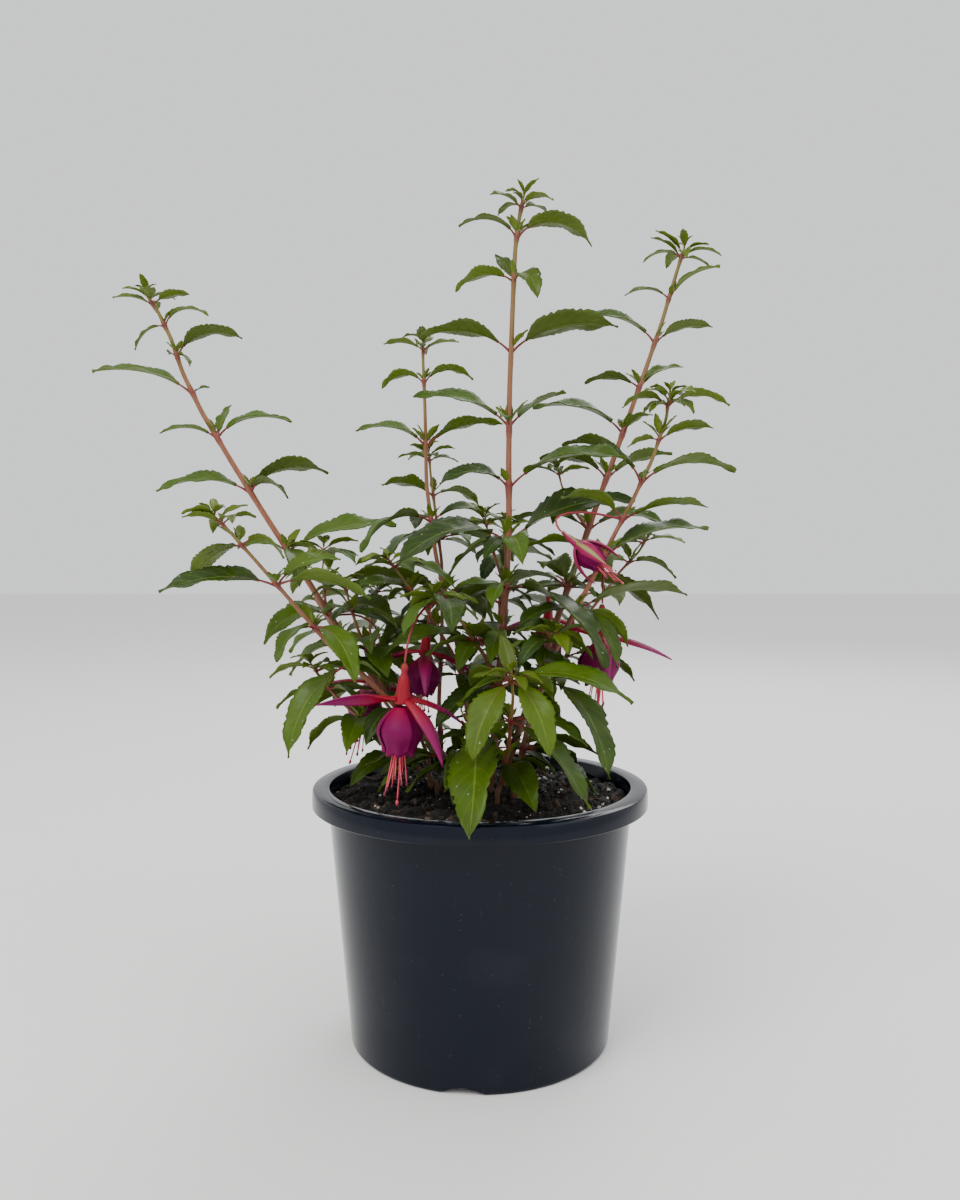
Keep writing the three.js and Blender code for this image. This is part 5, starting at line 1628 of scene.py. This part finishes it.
def bed_height(x, y):
    lumps = math.sin(x * 0.13 + 1) * math.cos(y * 0.17) + math.sin(x * 0.31 - y * 0.27 + 2)
    coarse = noise.noise(Vector((x * 0.16, y * 0.16, 3)))
    fine = noise.noise(Vector((x * 0.5, y * 0.5, 8)))
    return SOIL_TOP + SOIL_LUMP * lumps + 1.4 * coarse + 0.7 * fine


# %% The bed itself
nothing_selected()
bpy.ops.mesh.primitive_grid_add(x_subdivisions=BED_CELLS, y_subdivisions=BED_CELLS, size=2)
bed = bpy.context.object
bed.name = bed.data.name = "peat_bed"
bed_radius = inner_radius(SOIL_TOP)
for vertex in bed.data.vertices:
    x, y = vertex.co.x, vertex.co.y
    x, y = x * math.sqrt(1 - y * y / 2) * bed_radius, y * math.sqrt(1 - x * x / 2) * bed_radius
    vertex.co = Vector((x, y, bed_height(x, y))) * MM
foot = FLOOR + 0.5
bpy.ops.object.mode_set(mode="EDIT")
bpy.ops.mesh.select_all(action="SELECT")
bpy.ops.mesh.extrude_region_move(TRANSFORM_OT_translate={"value": (0, 0, (foot - SOIL_TOP) * MM)})
share = (BASE_RADIUS - WALL - BASE_ROUND - 1) / bed_radius
bpy.ops.transform.resize(value=(share, share, 0), center_override=(0, 0, foot * MM))
bpy.ops.mesh.dissolve_limited(angle_limit=math.radians(1))
bpy.ops.mesh.select_all(action="SELECT")
bpy.ops.mesh.normals_make_consistent(inside=False)
bpy.ops.object.mode_set(mode="OBJECT")
bpy.ops.object.shade_smooth_by_angle(angle=math.radians(60))
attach(bed, "root")
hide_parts("soil")
print("bed", len(bed.data.polygons), "faces")


# %% [markdown]
# ## Peat, bark and perlite
# Damp peat is dark and dull. Chips of composted bark are browner and a little smoother, and perlite is
# puffed white glass, chalky all over. One displaced surface would melt the three together. So a crumb and
# a chip are modelled once, and copies of them, turned every way, are strewn over the bed. All three are
# rough enough that the usual IOR of 1.5 hardly matters.

# %% One finish for all three: their real grain is under 1 mm, drawn at about 2 mm so that it shows
def mix_material(name, dark, light, roughness, grain_size):
    material, tree, shader = new_material(name, Roughness=roughness)
    tone = tint_of(tree)[0]
    where = add(tree, "TexCoord").outputs["Object"]
    grain = add(tree, "TexNoise", {"Vector": where, "Scale": per(grain_size), "Detail": 5}).outputs[0]
    share = add(tree, "Math", {0: tone, 1: 0.5, 2: grain}, operation="MULTIPLY_ADD").outputs[0]
    share = add(tree, "MapRange", {0: share, 1: 0.4, 2: 1.1}, **EASED).outputs[0]
    blend = add(tree, "Mix", {0: share, 6: dark, 7: light}, **COLOURS).outputs[2]
    bump = add(tree, "Bump", {"Strength": 0.6, "Distance": 0.0006, "Height": grain}).outputs[0]
    feed(shader, Base_Color=blend, Normal=bump)
    return material


peat_material = mix_material("damp_peat", "#0a0806", "#2c211a", 0.85, 2.4)
chip_material = mix_material("composted_bark", "#1d130d", "#55402f", 0.75, 2)
perlite_material = mix_material("perlite", "#b9b6ae", "#f1efe9", 0.9, 1.4)
bed.data.materials.append(peat_material)


# %% A crumb and a chip
def crumb_blank():
    nothing_selected()
    bpy.ops.mesh.primitive_ico_sphere_add(subdivisions=1, radius=1)
    bpy.ops.object.mode_set(mode="EDIT")
    bpy.ops.mesh.select_all(action="SELECT")
    bpy.ops.transform.vertex_random(offset=0.3, seed=4)
    bpy.ops.object.mode_set(mode="OBJECT")
    return take_blank(bpy.context.object)


def chip_blank():
    nothing_selected()
    bpy.ops.mesh.primitive_cube_add(size=2)
    chip = bpy.context.object
    chip.scale = (1.5, 0.8, 0.35)
    bpy.ops.object.transform_apply(location=False, rotation=False, scale=True)
    bpy.ops.object.mode_set(mode="EDIT")
    bpy.ops.mesh.select_all(action="SELECT")
    bpy.ops.mesh.bevel(offset=0.18, segments=1)
    bpy.ops.transform.vertex_random(offset=0.12, seed=2)
    bpy.ops.object.mode_set(mode="OBJECT")
    return take_blank(chip)


# %% Strewing: most are small, each is turned and stretched its own way, and none reaches past the bed
FARTHEST_CORNER = 1.9


def strew(name, blank, count, small, large, material, sunk):
    chance = np.random.default_rng(count)
    heap = new_heap()
    for _ in range(count):
        size = small + (large - small) * chance.random() ** 3
        reach = (bed_radius - FARTHEST_CORNER * size - 0.5) * math.sqrt(chance.random())
        turn = chance.uniform(0, 2 * math.pi)
        x, y = reach * math.cos(turn), reach * math.sin(turn)
        axes, _ = np.linalg.qr(chance.normal(size=(3, 3)))
        tilt = axes * np.sign(np.linalg.det(axes))
        centre = np.array([x, y, bed_height(x, y) - size * sunk])
        points = blank["points"] * chance.uniform(0.7, 1.2, 3) * size @ tilt.T + centre
        add_to(heap, blank, points, np.zeros((len(points), 2)), (chance.random(), 0, 0, 1))
    piece = piece_from(heap, name, material, "soil", "soil")
    piece.data.polygons.foreach_set("use_smooth", np.zeros(len(heap["faces"]), bool))
    print(name, count)


strew("peat_crumbs", crumb_blank(), 4200, 0.5, 2.6, peat_material, 0.1)
strew("bark_chips", chip_blank(), 170, 1.2, 3.4, chip_material, 0.0)
strew("perlite_grains", crumb_blank(), 260, 0.5, 1.7, perlite_material, 0.1)

# %% [markdown]
# ## Floor, light and camera
# The plant stands on a pale matt table in soft daylight. One hard lamp would be simpler, but it would cut
# the leaves into glare and black. So a large soft light from the upper left gives them their form, a
# weaker one from the right opens the shadows, one from behind lights the leaves through, and a pale sky
# fills in. The camera stands where the plant was seen from, and looks down a little.

# %% Table
nothing_selected()
bpy.ops.mesh.primitive_plane_add(size=12)
table = bpy.context.object
table.name = "table"
table_material, tree, shader = new_material("matt_pale_table", Roughness=0.8)
shader.inputs["Base Color"].default_value = colour("#efeeec")
table.data.materials.append(table_material)
print("table", len(table.data.polygons), "face")


# %% Soft lights, in metres and watts, all aimed at the middle of the plant
LIT_POINT = (0, 0, 0.25)


def soft_light(name, place, size, power, warmth):
    data = bpy.data.lights.new(name, "AREA")
    data.size = size
    data.energy = power
    data.color = warmth
    light = bpy.data.objects.new(name, data)
    bpy.context.collection.objects.link(light)
    light.location = place
    light.rotation_euler = (Vector(LIT_POINT) - Vector(place)).to_track_quat("-Z", "Y").to_euler()


soft_light("key", (-1.1, -1.3, 1.9), 1.3, 38, (1, 0.98, 0.95))
soft_light("fill", (1.6, -1.0, 1.1), 1.4, 8, (0.93, 0.96, 1))
soft_light("back", (0.6, 1.5, 1.6), 1.2, 18, (1, 1, 1))

sky = bpy.data.worlds.new("pale_sky")
sky.use_nodes = True
sky.node_tree.nodes["Background"].inputs[0].default_value = colour("#f4f6f8")
sky.node_tree.nodes["Background"].inputs[1].default_value = 1.15
bpy.context.scene.world = sky
print("lights", len(bpy.data.lights))

# %% Camera, at the height and distance that the plant was seen from
DISTANCE = 0.62
EYE_HEIGHT = 0.293
LOOKS_DOWN = 0.05
eye = bpy.data.cameras.new("camera")
eye.lens = 31.2
eye.sensor_width = 36
camera = bpy.data.objects.new("camera", eye)
camera.location = (0, -DISTANCE, EYE_HEIGHT)
camera.rotation_euler = (math.pi / 2 - LOOKS_DOWN, 0, 0)
bpy.context.collection.objects.link(camera)
bpy.context.scene.camera = camera
print("camera", eye.lens, "mm at", list(camera.location))
